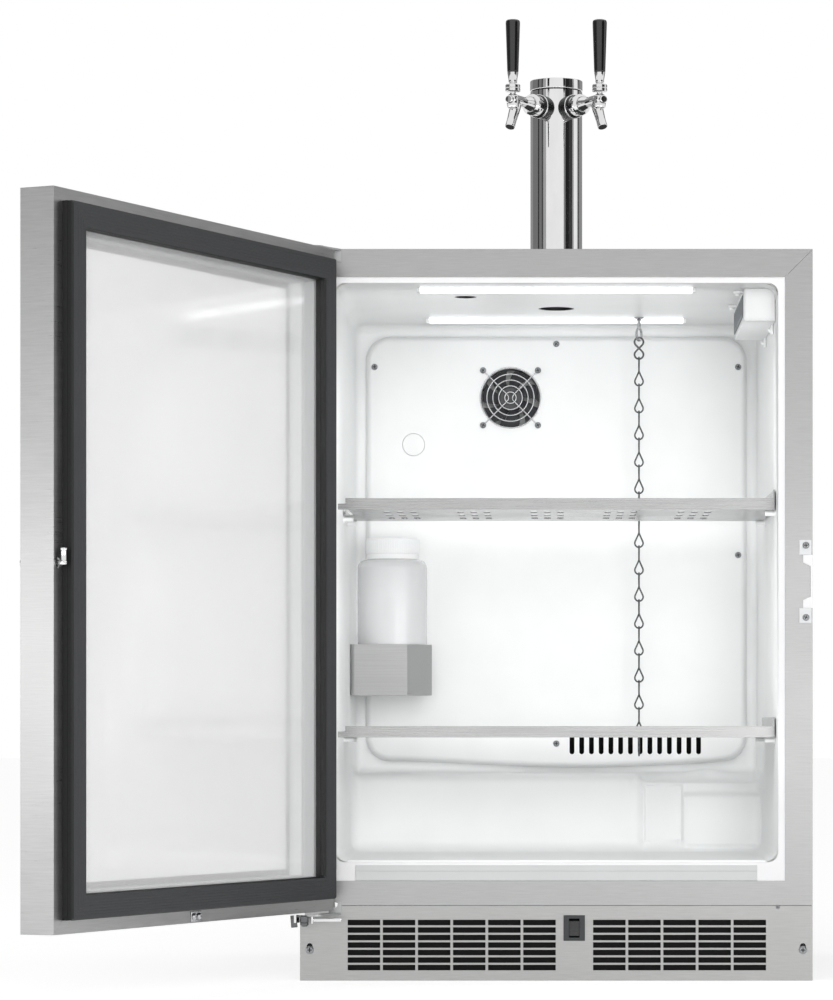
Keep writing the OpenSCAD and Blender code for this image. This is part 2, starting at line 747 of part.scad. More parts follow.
module fan_guard() color("#9fa2a4") {
    for (r = guard_rings) translate([fan_x, guard_y, fan_z]) rotate([90, 0, 0])
        rotate_extrude() translate([r, 0]) circle(guard_wire, $fn = 16);
    for (x = [-1, 1], z = [-1, 1]) difference() {
        union() {
            translate([fan_x, guard_y + 2 * guard_wire + 0.05, fan_z])
                rotate([0, -atan2(z, x), 0]) translate([guard_rings[0], 0, 0]) rotate([0, 90, 0])
                    cylinder(r = guard_wire, h = guard_screw * sqrt(2) - guard_rings[0] - 1.5, $fn = 16);
            rod_y(fan_x + x * guard_screw, fan_z + z * guard_screw, 3.4,
                cover_y - 2, cover_y - 0.1);
        }
        rod_y(fan_x + x * guard_screw, fan_z + z * guard_screw, screw_hole, cover_y - 4, cover_y);
    }
}

module control_housing() color("#f6f7f8") {
    difference() {
        slab(control_x, wall_x - 0.3, control_y, control_y + control_l, control_z, ceiling_z - 0.1);
        slab(control_x + control_t, wall_x - 0.3 - control_t, control_y + control_t,
            control_y + control_l - control_t, control_z + control_t, ceiling_z + 1);
    }
    for (off = clip_at) translate([0, control_y + off, 0]) {
        slab(control_x - 11, control_x + 0.5, 0, clip_w, ceiling_z - 3, ceiling_z - 0.1);
        translate([control_x - 6, clip_w / 2, ceiling_z - 5]) cylinder(r = 3, h = 3);
        slab(wall_x - 3.3, wall_x - 0.3, 20, 20 + clip_w, control_z - 11, control_z + 0.5);
        translate([wall_x - 5.3, 20 + clip_w / 2, control_z - 6]) rotate([0, 90, 0])
            cylinder(r = 3, h = 3);
    }
}

module control_panel() color("#6d7072")
    slab(control_x - 1.4, control_x - 0.05, control_y + 21, control_y + control_l - 2,
        control_z + 6.5, ceiling_z - 6.5);

module led_bars() color("#ffffff") for (y = lamp_at)
    slab(-lamp_x, lamp_x, y, y + lamp_w, ceiling_z - lamp_h, ceiling_z - 0.1);

// Folded shelf: plate, front lip, high right flange and low left flange
module shelf(z) {
    x0 = -wall_x + shelf_gap;
    x1 = wall_x - shelf_gap;
    y1 = shelf_y + shelf_d;
    difference() {
        union() {
            slab(x0, x1, shelf_y, y1, z, z + plate_t);
            slab(x0, x1, shelf_y, shelf_y + plate_t, z, z + lip_h);
            slab(x1 - plate_t, x1, shelf_y, y1, z, z + flange_h);
            slab(x0, x0 + plate_t, shelf_y + notch_y, y1, z, z + 7);
            slab(x0, x1, y1 - plate_t, y1, z, z + 5);
        }
        slab(x0 - 1, x0 + notch_w, shelf_y + plate_t, shelf_y + notch_y, z - 1, z + flange_h);
        slab(x0 - 1, x0 + 9, shelf_y - 1, shelf_y + plate_t + 1, z + 7, z + flange_h);
        slab(x1 - 0.1 - plate_t, x1 + 1, shelf_y - 1, shelf_y + 3, z + lip_h + 10, z + flange_h + 1);
        for (g = slot_groups, c = [-1:1], r = [0:2])
            translate([g + c * 16, shelf_y + 55 + r * 70, z - 1]) {
                slab(-4, 4, -16, 16, 0, plate_t + 2);
                for (s = [-16, 16]) translate([0, s, 0]) cylinder(r = 4, h = plate_t + 2, $fn = 24);
            }
    }
}

module upper_shelf() color("#b4b6b8") shelf(upper_shelf_z);
module lower_shelf() color("#b4b6b8") shelf(lower_shelf_z);

// Pegs in the side walls, two under each end of each shelf
module shelf_clips() color("#d8dadc") for (z = [upper_shelf_z, lower_shelf_z])
    for (p = [[-1, shelf_y + notch_y + 12], [-1, shelf_y + shelf_d - 20],
              [1, shelf_y + 25], [1, shelf_y + shelf_d - 20]])
        translate([p[0] * (wall_x - 0.05), p[1], z - peg_r - rest_gap]) rotate([0, -90 * p[0], 0]) {
            cylinder(r = peg_r, h = 12);
            cylinder(r = 5, h = 0.8);
        }

module bottle_bracket() color("#adafb1") {
    wall = -wall_x + 0.1;
    t = bracket_t2;
    corner = wall + bend_r;
    bend_x = bottle_x + 21;
    end_x = bottle_x + 51;
    end_y = band_y + 35;
    translate([0, 0, bracket_z]) {
        linear_extrude(bracket_h) {
            translate([wall, band_y + bend_r]) square([t, 84]);
            translate([corner, band_y]) square([bend_x - corner, t]);
            intersection() {
                translate([corner, band_y + bend_r]) difference() {
                    circle(bend_r);
                    circle(bend_r - t);
                }
                translate([wall - 1, band_y - 1]) square(bend_r + 1.01);
            }
            polygon([[bend_x - 0.6, band_y], [end_x, end_y], [end_x - 1.1, end_y + 1],
                [bend_x - 1.1, band_y + t]]);
        }
        linear_extrude(t) polygon([[wall + 0.2, band_y + bend_r], [corner, band_y + 0.2],
            [bend_x - 0.8, band_y + 0.2], [end_x - 0.8, end_y + 0.4], [end_x - 10, bottle_y + 40],
            [wall + 0.2, bottle_y + 40]]);
    }
}

module drain_bottle() color("#eef0f0", 0.8) translate([bottle_x, bottle_y, bottle_z])
    rotate_extrude() {
        t = bottle_t;
        polygon(concat([[0, 0], [bottle_r - 6, 0]], arc(bottle_r - 6, 6, 6, -90, 0),
            arc(bottle_r - 15, bottle_h - 19, 15, 0, 80), [[neck_r, bottle_h]],
            [[neck_r, bottle_h + 21], [neck_r - t, bottle_h + 21], [neck_r - t, bottle_h - 2]],
            arc(bottle_r - 15, bottle_h - 19, 15 - t, 80, 0),
            arc(bottle_r - 6, 6, 6 - t, 0, -90), [[0, t]]));
    }

module bottle_cap() color("#f2f3f3") translate([bottle_x, bottle_y, bottle_z + bottle_h + 0.4])
    rotate_extrude() polygon([[neck_r + fit, 0], [cap_r - 1.4, 0], [cap_r - 1.4, 6.5], [cap_r, 7.5],
        [cap_r, 25.5], [cap_r - 1.2, 26.7], [0, 26.7], [0, 21], [neck_r + fit, 21]]);

module chain_anchor() color("#a5a7a9") translate([chain_x, chain_y, 0]) {
    translate([0, 0, ceiling_z - 2]) cylinder(r = 6.5, h = 1.9);
    translate([0, 0, eye_z + eye_r]) cylinder(r = 2.4, h = ceiling_z - eye_z - eye_r - 1);
    translate([0, 0, eye_z]) rotate([90, 0, 65]) rotate_extrude() translate([eye_r, 0])
        circle(eye_wire, $fn = 24);
}

// Points of a pear-shaped loop in X and Z: its tip at the origin, its round end at distance l
function pear(l, r) = let (half = asin(r / (l - r)), n = ring_steps) concat(
    [[0, 0]],
    [for (i = [0:n]) let (a = half - (180 + 2 * half) * i / n)
        [r * cos(a), -(l - r) + r * sin(a)]]
);

// Closed wire of radius w that follows points in the XZ plane
module wire_loop(pts, w) {
    n = len(pts);
    m = wire_sides;
    function side(i) = let (d = pts[(i + 1) % n] - pts[(i + n - 1) % n], l = norm(d)) [-d[1] / l, d[0] / l];
    polyhedron(
        points = [for (i = [0:n - 1], k = [0:m - 1]) let (s = side(i), a = k * 360 / m + 30)
            [pts[i][0] + s[0] * w * cos(a), w * sin(a), pts[i][1] + s[1] * w * cos(a)]],
        faces = [for (i = [0:n - 1], k = [0:m - 1], h = [0, 1]) let (
            a = i * m + k, b = i * m + (k + 1) % m,
            c = ((i + 1) % n) * m + (k + 1) % m, d = ((i + 1) % n) * m + k)
            h == 0 ? [a, b, c] : [a, c, d]]
    );
}

// Two pear-shaped loops tip to tip, the upper one turned by twist
module double_loop(l, r, w, twist) {
    rotate([180, 0, twist]) translate([0, 0, w]) wire_loop(pear(l / 2 + w, r), w);
    translate([0, 0, w]) wire_loop(pear(l / 2 + w, r), w);
}

module s_hooks() color("#8f9193") translate([chain_x, chain_y, 0]) {
    translate([0, 0, hook_top - hook_l / 2]) double_loop(hook_l, hook_r, hook_wire, 0);
    translate([0, 0, last_link + hook_wire + wire_r + touch - hook_l / 2]) rotate([0, 0, 90])
        double_loop(hook_l, hook_r, hook_wire, 0);
}

module chain_links() color("#8f9193") for (i = [0:links - 1])
    translate([chain_x, chain_y, first_link - i * link_pitch - link_l / 2])
        double_loop(link_l, loop_r, wire_r, 90);

module lock_strike() color("#c0c2c3") for (s = [-1, 1]) {
    z0 = s > 0 ? strike_z + strike_half + 0.2 : strike_z - strike_half - 0.2 - tab_h;
    difference() {
        slab(strike_x0 - 4.4, strike_x0 - 4.4 + tab_w, -2, -0.05, z0, z0 + tab_h);
        rod_y(strike_x0 + 3.3, strike_z + s * (strike_half + 11.2), screw_hole, -3, 1);
    }
}

module strike_insert() color("#f7f8f8") deep(-2.2, -0.05) polygon([
    [strike_x0, strike_z - strike_half], [half_w, strike_z - strike_half],
    [half_w, strike_z + strike_half], [strike_x0, strike_z + strike_half],
    [strike_x0, strike_z + 22], [half_w - 2.5, strike_z + 18],
    [half_w - 2.5, strike_z - 18], [strike_x0, strike_z - 22]
]);

// Bracket on the face with an arm out to the hinge pin; up is 1 for the upper one
module hinge_bracket(up) {
    arm = up ? door_z1 + 0.3 : door_z0 - hinge_plate_t - 0.8 - bracket_t;
    plate0 = up ? gasket_z1 + 1.2 : arm;
    plate1 = up ? door_z1 + 0.3 + bracket_t : gasket_z0 - 5;
    slab(pin_x - 10, bracket_x1, -bracket_t - 0.05, -0.05, plate0, plate1);
    linear_extrude_at(arm) {
        translate([pin_x, pin_y]) circle(11);
        polygon([[pin_x - 11, pin_y], [pin_x + 11, pin_y], [bracket_x1, -2], [bracket_x1, -0.05],
            [pin_x - 10, -0.05], [pin_x - 10, -8]]);
    }
    translate([pin_x, pin_y, up ? door_z1 - 14 : arm]) cylinder(r = pin_r, h = up ? 15 : 20);
}

module linear_extrude_at(z) translate([0, 0, z]) linear_extrude(bracket_t) children();

module hinge_brackets() color("#a9abad") {
    hinge_bracket(true);
    hinge_bracket(false);
}

// Turns a piece drawn in the door's closed place to where the door stands
module on_door() translate([pin_x, pin_y, 0]) rotate(-door_open) translate([-pin_x, -pin_y, 0])
    children();

// Ring between two insets from the door's edges
module door_ring(y0, y1, outer, inner) deep(y0, y1) difference() {
    rect(door_x0 + outer, door_x1 - outer, door_z0 + outer, door_z1 - outer);
    rect(door_x0 + inner, door_x1 - inner, door_z0 + inner, door_z1 - inner);
}

module gasket_rect(e) rect(door_x0 + door_margin + e, door_x1 - door_margin - e, gasket_z0 + e,
    gasket_z1 - e);

module gasket_ring(y0, y1, outer, inner) deep(y0, y1) difference() {
    gasket_rect(outer);
    gasket_rect(inner);
}

module pin_holes(gap) for (z = [door_z0 - 10, door_z1 - 20])
    translate([pin_x, pin_y, z]) cylinder(r = pin_r + gap, h = 30);

module lock_bore(r) rod_y(lock_x, lock_z, r, door_out - 1, door_in + 1);

module skin_sheet() {
    door_ring(door_out, door_out + skin_t, 0, skin_face_w);
    door_ring(door_out, door_in, 0, skin_t);
    difference() {
        deep(door_in - skin_t, door_in) rect(door_x0, door_x1, door_z0, door_z1);
        deep(door_in - 2 * skin_t, door_in + 1) gasket_rect(4);
    }
}

// Quarter of the door face between its mitres, seen from the front: 0 bottom, 1 right, 2 top, 3 left
module door_quarter(i, e) {
    reach = (door_z1 - door_z0) / 2 - e;
    turn = [0, 1, 1, 0];
    xs = [door_x0, door_x1];
    mid_z = (door_z0 + door_z1) / 2;
    half = door_w / 2;
    cx = (door_x0 + door_x1) / 2;
    deep(door_out - 1, door_in + 1) polygon(
        i == 0 ? [[cx - half + e, door_z0 - 1], [cx + half - e, door_z0 - 1],
                  [cx + half - e, door_z0], [cx, door_z0 + half - e], [cx - half + e, door_z0]] :
        i == 2 ? [[cx - half + e, door_z1 + 1], [cx + half - e, door_z1 + 1],
                  [cx + half - e, door_z1], [cx, door_z1 - half + e], [cx - half + e, door_z1]] :
        i == 1 ? [[cx + half + 1, door_z0 + e], [cx + half + 1, door_z1 - e],
                  [cx + half, door_z1 - e], [cx + half - 100, door_z1 - e - 100],
                  [cx + half - 100, door_z0 + e + 100], [cx + half, door_z0 + e]] :
                 [[cx - half - 1, door_z0 + e], [cx - half - 1, door_z1 - e],
                  [cx - half, door_z1 - e], [cx - half + 100, door_z1 - e - 100],
                  [cx - half + 100, door_z0 + e + 100], [cx - half, door_z0 + e]]
    );
}

module door_skin() color("#bcbebf") on_door() for (i = [0:3]) difference() {
    intersection() { skin_sheet(); door_quarter(i, 0.1); }
    pin_holes(1.5);
    lock_bore(5.6);
}

module door_core() color("#d7d8d6") on_door() difference() {
    door_ring(door_out + skin_t + 0.1, door_in - skin_t - 0.1, skin_t + 0.2, sight);
    door_ring(door_in - glass_t - 2, door_in + 1, sight - rebate, sight + 30);
    pin_holes(0.08);
    lock_bore(5.6);
}

module glass_panes() color("#dfe6e8", 0.4) on_door() for (y = [0, 1])
    deep(door_in - 1.5 - (y ? glass_t : pane_t), door_in - 1.5 - (y ? glass_t - pane_t : 0))
        rect(door_x0 + sight - rebate + 0.5, door_x1 - sight + rebate - 0.5,
            door_z0 + sight - rebate + 0.5, door_z1 - sight + rebate - 0.5);

module glass_spacer() color("#303234") on_door()
    door_ring(door_in - 1.5 - glass_t + pane_t + 0.05, door_in - 1.5 - pane_t - 0.05,
        sight - rebate + 1.5, sight - 1);

module gasket_carrier() color("#101112") on_door()
    gasket_ring(door_in + 0.05, door_in + carrier_t, 0, gasket_w);

module door_gasket() color("#434446") on_door() {
    gasket_ring(door_in + carrier_t + seal_groove, -seal_gap, 0, gasket_w);
    gasket_ring(door_in + carrier_t + 0.05, door_in + carrier_t + seal_groove, 1.5, gasket_w - 1.5);
}

module door_hinge_plates() color("#d2d4d6") on_door() difference() {
    union() {
        slab(door_x0 + 4, door_x0 + 62, door_out + 4, door_in - 4, door_z0 - hinge_plate_t,
            door_z0 - 0.05);
        slab(pin_x + 4, pin_x + 14, pin_y - 20, pin_y - 17, door_z0 - 14, door_z0 - 1);
        translate([pin_x, pin_y, door_z0 - hinge_plate_t]) cylinder(r = 8, h = hinge_plate_t - 0.1);
    }
    pin_holes(0.08);
}

module door_stop_pad() color("#cfd1d3") on_door() {
    slab(2, 24, door_in + 0.05, door_in + 1.2, door_z0 + 1.5, door_z0 + 13);
    for (x = [7.5, 18.5]) rod_y(x, door_z0 + 7.2, 3.8, door_in + 1.1, door_in + 4.2);
}

module lock_cylinder() color("#c9cbcd") on_door() difference() {
    union() {
        rod_y(lock_x, lock_z, 5.4, door_out, door_in - 0.05);
        rod_y(lock_x, lock_z, 7, door_out - 2, door_out - 0.05);
    }
    rod_y(lock_x, lock_z, lock_shaft_r + shaft_gap, door_out - 3, door_in + 1);
}

module lock_cam() color("#c4c6c8") on_door() {
    difference() {
        rod_y(lock_x, lock_z, lock_shaft_r, door_out - 2, door_in + 8);
        slab(lock_x - 0.5, lock_x + 0.5, door_out - 3, door_out + 1, lock_z - 2, lock_z + 2);
    }
    translate([lock_x, door_in + 6.8, lock_z]) cylinder(r = 3.7, h = 15.5);
}

module roof_sleeves() color("#1a1b1c") {
    z0 = ceiling_z;
    for (p = [[0, tower_y, passage_r, 2.5], [port_x, port_y, port_r, 2]])
        translate([p[0], p[1], z0]) difference() {
            cylinder(r = p[2] + p[3], h = shell_top - z0);
            translate([0, 0, -1]) cylinder(r = p[2], h = shell_top - z0 + 2);
        }
}

module tower_flange() color("#c8cacb") translate([0, tower_y, shell_top + 0.05]) difference() {
    union() {
        cylinder(r = flange_r, h = flange_h2 - 0.05);
        cylinder(r = column_r + 4, h = 14);
    }
    translate([0, 0, -1]) cylinder(r = column_r - column_t - 1, h = 20);
    translate([0, 0, 4]) cylinder(r = column_r + 0.05, h = 20);
    for (a = [45:90:315]) rotate(a) translate([46, 0, -1]) cylinder(r = screw_hole, h = 10);
}

// Axis of the left or right tap, from the tower's axis outwards and down the middle of the tap
module on_tap(s) translate([0, tower_y, 0]) rotate(-90 + s * tap_angle) children();

module tower_column() color("#d5d7d8") difference() {
    translate([0, tower_y, shell_top + 4.1]) cylinder(r = column_r, h = column_top - shell_top - 4.2);
    translate([0, tower_y, shell_top]) cylinder(r = column_r - column_t, h = tower_h);
    for (s = [-1, 1]) on_tap(s) translate([0, 0, tap_z]) rotate([0, 90, 0])
        cylinder(r = 8 + fit, h = column_r + 5);
}

module tower_cap() color("#d5d7d8") translate([0, tower_y, column_top]) difference() {
    cylinder(r = column_r + 0.4, h = cap_h);
    difference() {
        translate([0, 0, -1]) cylinder(r = column_r - 3, h = cap_h - 1);
    }
}

// Collar against the column, and the threaded shank that passes through it
module tap_shanks() color("#1c1d1f") for (s = [-1, 1]) on_tap(s) translate([0, 0, tap_z])
    rotate([0, 90, 0]) difference() {
        union() {
            difference() {
                translate([0, 0, column_r - 4]) cylinder(r = collar_r, h = collar_l + 2.5);
                rotate([0, -90, 0]) translate([0, 0, -40]) cylinder(r = column_r + 0.1, h = 80);
            }
            translate([0, 0, column_r - 14]) cylinder(r = 8, h = collar_l + 18 + nut_l / 2 - 3);
        }
        translate([0, 0, column_r - 15]) cylinder(r = 5, h = collar_l + 60);
    }

module coupling_nuts() color("#cfd1d3") for (s = [-1, 1]) on_tap(s) translate([0, 0, tap_z])
    rotate([0, 90, 0]) translate([0, 0, column_r + collar_l - 1.4]) difference() {
        union() {
            cylinder(r = nut_r, h = nut_l - 4);
            translate([0, 0, nut_l - 4]) cylinder(r1 = nut_r, r2 = 9.5, h = 4);
        }
        translate([0, 0, -1]) cylinder(r = 8 + fit, h = nut_l / 2 + 4);
        translate([0, 0, -1]) cylinder(r = 7, h = nut_l + 2);
        for (a = [0:60:300]) rotate(a) translate([nut_r, 0, 5]) rotate([0, 90, 0])
            cylinder(r = 1.6, h = 4, center = true, $fn = 16);
    }

tap_tail = column_r + collar_l - 1.4 + nut_l + 0.05;

// Tap body: tapered tail, domed seat for the lever, front cap and a tilted spout
module faucet_body(s) on_tap(s) difference() {
    union() {
        translate([tap_tail, 0, tap_z]) rotate([0, 90, 0])
            cylinder(r1 = 9.5, r2 = 7, h = tap_reach - tap_tail);
        translate([tap_reach, 0, tap_z - 10]) cylinder(r = 7.2, h = 10);
        translate([tap_reach, 0, pivot_z]) sphere(dome_r);
        translate([tap_reach + 3, 0, tap_z - 1]) rotate([0, 90, 0]) cylinder(r = 4.9, h = 7);
        translate([tap_reach - 8, 0, tap_z - 5]) rotate([0, 180 - spout_tilt, 0])
            cylinder(r = spout_r, h = spout_l);
    }
    translate([tap_reach, 0, pivot_z]) sphere(ball_r + 0.3);
    slab(tap_reach - 5.4, tap_reach + 20, -4.4, 4.4, pivot_z + 1, pivot_z + 20);
    translate([tap_reach - 8, 0, tap_z - 5]) rotate([0, 180 - spout_tilt, 0]) translate([0, 0, 12])
        cylinder(r = spout_r - 1.3, h = spout_l);
}

module faucet_bodies() color("#cfd1d3") for (s = [-1, 1]) faucet_body(s);

module lever(s) on_tap(s) translate([tap_reach, 0, 0]) {
    translate([0, 0, pivot_z]) sphere(ball_r);
    translate([0, 0, pivot_z + 3]) cylinder(r = 3.6, h = lever_z - pivot_z);
    translate([0, 0, lever_z]) cylinder(r = 9.2, h = ferrule_z - lever_z - 0.4, $fn = 8);
    translate([0, 0, ferrule_z - 0.5]) cylinder(r = 4, h = 5);
}

module handle(s) on_tap(s) translate([tap_reach, 0, ferrule_z]) rotate_extrude() polygon(concat(
    [[4.1, 0], [5.6, 0], [5.2, handle_z - ferrule_z], [6.9, handle_z - ferrule_z + 0.5]],
    [[handle_r, handle_z - ferrule_z + handle_l - 2], [handle_r - 1.4, handle_z - ferrule_z + handle_l]],
    [[0, handle_z - ferrule_z + handle_l + 0.6], [0, 4.7], [4.1, 4.7]]
));

module left_lever() color("#cfd1d3") lever(-1);
module right_lever() color("#cfd1d3") lever(1);
module left_handle() color("#141415") handle(-1);
module right_handle() color("#141415") handle(1);

cabinet_shell();
rear_cover();
cord_gland();
base_pan();
levelling_feet();
insulation_foam();
inner_liner();
breaker_strip();
threshold_plate();
face_frame();
grille_panel();
screws();
switch_housing();
switch_rocker();
compressor();
compressor_mounts();
condenser_coil();
evaporator_coil();
fan_frames();
condenser_fan_blade();
evaporator_fan_blade();
evaporator_cover();
fan_guard();
control_housing();
control_panel();
led_bars();
upper_shelf();
lower_shelf();
shelf_clips();
bottle_bracket();
drain_bottle();
bottle_cap();
chain_anchor();
s_hooks();
chain_links();
lock_strike();
strike_insert();
hinge_brackets();
door_skin();
door_core();
glass_panes();
glass_spacer();
gasket_carrier();
door_gasket();
door_hinge_plates();
door_stop_pad();
lock_cylinder();
lock_cam();
roof_sleeves();
tower_flange();
tower_column();
tower_cap();
tap_shanks();
coupling_nuts();
faucet_bodies();
left_lever();
right_lever();
left_handle();
right_handle();
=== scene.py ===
"""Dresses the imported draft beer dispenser: finishes, moulded and formed pieces, camera and light."""

import logging
import math
from dataclasses import dataclass
from enum import Enum
from typing import Any, Iterable, Sequence

import bmesh
import bpy
from mathutils import Matrix, Vector


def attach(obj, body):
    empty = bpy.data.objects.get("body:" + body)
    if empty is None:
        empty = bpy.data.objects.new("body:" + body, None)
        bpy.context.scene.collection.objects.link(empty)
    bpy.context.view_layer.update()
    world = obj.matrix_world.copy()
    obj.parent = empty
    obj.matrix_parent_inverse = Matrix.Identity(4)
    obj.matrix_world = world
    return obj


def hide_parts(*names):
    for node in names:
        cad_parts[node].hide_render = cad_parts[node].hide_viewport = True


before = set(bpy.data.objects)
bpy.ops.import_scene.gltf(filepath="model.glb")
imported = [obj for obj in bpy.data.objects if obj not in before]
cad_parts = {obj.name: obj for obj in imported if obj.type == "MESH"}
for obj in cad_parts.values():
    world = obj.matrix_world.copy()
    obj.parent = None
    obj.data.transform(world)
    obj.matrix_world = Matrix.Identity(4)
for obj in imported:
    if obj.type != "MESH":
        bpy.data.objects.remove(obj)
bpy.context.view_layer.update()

LOG = logging.getLogger("dispenser")
MM = 0.001
P2 = tuple[float, float]
P3 = tuple[float, float, float]
P4 = tuple[float, float, float, float]
DOOR_OPEN = math.radians(115.6)
DOOR_PIN = Vector((-283.8, -29.6, 0.0))
UNDER_ROOF = 824.9  # top of what hangs from the liner's ceiling, a hair below it
TO_FRONT: P3 = (0, -1, 0)
TO_BACK: P3 = (0, 1, 0)
ALONG_X = Matrix.Rotation(math.pi / 2, 4, "Y")


# Nodes and colours


def linear(colour: str) -> P4:
    """Turns an sRGB hex value into a linear colour.

    Args:
        colour: The value, such as "#F4F6F8".

    Returns:
        Red, green, blue and 1.
    """
    parts = [int(colour[i : i + 2], 16) / 255 for i in (1, 3, 5)]
    low = [v / 12.92 if v <= 0.04045 else ((v + 0.055) / 1.055) ** 2.4 for v in parts]
    return (*low, 1.0)


def add(
    tree: bpy.types.NodeTree,
    kind: str,
    settings: dict[Any, Any] | None = None,
    links: dict[Any, bpy.types.NodeSocket] | None = None,
) -> bpy.types.Node:
    """Adds a node with its settings and links.

    Args:
        tree: The tree that gets the node.
        kind: The node's type.
        settings: Values by property name, input name or input number.
        links: Output sockets by input name or number.

    Returns:
        The new node.
    """
    node = tree.nodes.new(kind)
    for key, value in (settings or {}).items():
        if isinstance(key, str) and key not in node.inputs:
            setattr(node, key, value)
        else:
            node.inputs[key].default_value = value
    for key, socket in (links or {}).items():
        tree.links.new(socket, node.inputs[key])
    return node


class Grain(Enum):
    """Size of one mark along X, Y and Z, in millimetres."""

    UPRIGHT = (1.1, 1.1, 90.0)  # brushed up and down
    ACROSS = (90.0, 1.1, 1.1)  # brushed from side to side
    AROUND = (28.0, 28.0, 1.0)  # brushed level, all the way round a piece
    NONE = (40.0, 40.0, 40.0)  # not brushed: the clouds of a zinc coat


@dataclass(frozen=True)
class Finish:
    """A surface finish, made into a material once.

    Args:
        name: The material's name.
        colour: Base colour as an sRGB hex value.
        roughness: Mean roughness.
        metallic: 1 for a metal.
    """

    name: str
    colour: str
    roughness: float
    metallic: float = 0.0

    def material(self) -> bpy.types.Material:
        """Returns the material, building it on first use.

        Returns:
            The material, the same one each time.
        """
        found = bpy.data.materials.get(self.name)
        if found:
            return found
        made = bpy.data.materials.new(self.name)
        made.use_nodes = True
        made.diffuse_color = linear(self.colour)
        tree = made.node_tree
        tree.nodes.clear()
        out = add(tree, "ShaderNodeOutputMaterial")
        shader = add(tree, "ShaderNodeBsdfPrincipled")
        shader.inputs["Base Color"].default_value = linear(self.colour)
        shader.inputs["Roughness"].default_value = self.roughness
        shader.inputs["Metallic"].default_value = self.metallic
        tree.links.new(shader.outputs[0], out.inputs["Surface"])
        self.detail(tree, shader)
        return made

    def place(self, tree: bpy.types.NodeTree) -> bpy.types.NodeSocket:
        """Returns the coordinates that the pattern reads."""
        return add(tree, "ShaderNodeTexCoord").outputs["Object"]

    def detail(self, tree: bpy.types.NodeTree, shader: bpy.types.Node) -> None:
        """Adds the finish's own pattern."""

    def noise(
        self,
        tree: bpy.types.NodeTree,
        size: Sequence[float],
        detail: float = 3.0,
        where: bpy.types.NodeSocket | None = None,
    ) -> bpy.types.NodeSocket:
        """Adds noise whose marks have a real size.

        Args:
            tree: The material's tree.
            size: Size of a mark along X, Y and Z, in millimetres.
            detail: Octaves of finer marks.
            where: Coordinates, if not the finish's own.

        Returns:
            The noise value, about 0.5 on average.
        """
        scale = {"Scale": [1 / (s * MM) for s in size]}
        turn = add(tree, "ShaderNodeMapping", scale, {"Vector": where or self.place(tree)})
        return add(
            tree,
            "ShaderNodeTexNoise",
            {"Scale": 1.0, "Detail": detail, "Roughness": 0.6},
            {"Vector": turn.outputs[0]},
        ).outputs["Fac"]

    def spread(
        self, tree: bpy.types.NodeTree, value: bpy.types.NodeSocket, low: float, high: float
    ) -> bpy.types.NodeSocket:
        """Maps noise from its usual span of 0.3 to 0.7 onto low to high.

        Args:
            tree: The material's tree.
            value: The noise.
            low: Result for dark noise.
            high: Result for light noise.

        Returns:
            The mapped value.
        """
        return add(
            tree,
            "ShaderNodeMapRange",
            {"From Min": 0.3, "From Max": 0.7, "To Min": low, "To Max": high},
            {"Value": value},
        ).outputs[0]

    def tint(
        self, tree: bpy.types.NodeTree, value: bpy.types.NodeSocket, amount: float
    ) -> bpy.types.NodeSocket:
        """Varies the base colour by a share of itself, following a noise value.

        Args:
            tree: The material's tree.
            value: The noise.
            amount: The share that it grows lighter or darker by.

        Returns:
            The colour.
        """
        base = linear(self.colour)
        dark = tuple(c * (1 - amount) for c in base[:3]) + (1.0,)
        light = tuple(min(c * (1 + amount), 1.0) for c in base[:3]) + (1.0,)
        mix = add(
            tree,
            "ShaderNodeMix",
            {"data_type": "RGBA", 6: dark, 7: light},
            {0: self.spread(tree, value, 0.0, 1.0)},
        )
        return mix.outputs[2]

    def pass_light(self, tree: bpy.types.NodeTree, shader: bpy.types.Node) -> None:
        """Lets the lamps' and the room's light through to what stands behind a clear piece.

        Args:
            tree: The material's tree.
            shader: The clear piece's own shader.
        """
        path = add(tree, "ShaderNodeLightPath").outputs
        clear = add(tree, "ShaderNodeBsdfTransparent", {"Color": linear("#FFFFFF")})
        through = add(
            tree,
            "ShaderNodeMath",
            {"operation": "MAXIMUM"},
            {0: path["Is Shadow Ray"], 1: path["Is Diffuse Ray"]},
        )
        both = add(
            tree,
            "ShaderNodeMixShader",
            {},
            {0: through.outputs[0], 1: shader.outputs[0], 2: clear.outputs[0]},
        )
        tree.links.new(both.outputs[0], tree.nodes["Material Output"].inputs["Surface"])

    def relief(
        self,
        tree: bpy.types.NodeTree,
        shader: bpy.types.Node,
        height: bpy.types.NodeSocket,
        strength: float,
        depth: float,
        edge: float = 0.0,
    ) -> None:
        """Adds bump and, where asked, a rounded look on sharp edges.

        Args:
            tree: The material's tree.
            shader: The node whose normal is set.
            height: Height from 0 to 1.
            strength: Bump strength.
            depth: Height of a mark in millimetres.
            edge: Radius of the rounded edges in millimetres.
        """
        size = {"Strength": strength, "Distance": depth * MM}
        bump = add(tree, "ShaderNodeBump", size, {"Height": height})
        if edge:
            round_edge = add(tree, "ShaderNodeBevel", {"samples": 4, "Radius": edge * MM})
            tree.links.new(round_edge.outputs[0], bump.inputs["Normal"])
        tree.links.new(bump.outputs[0], shader.inputs["Normal"])


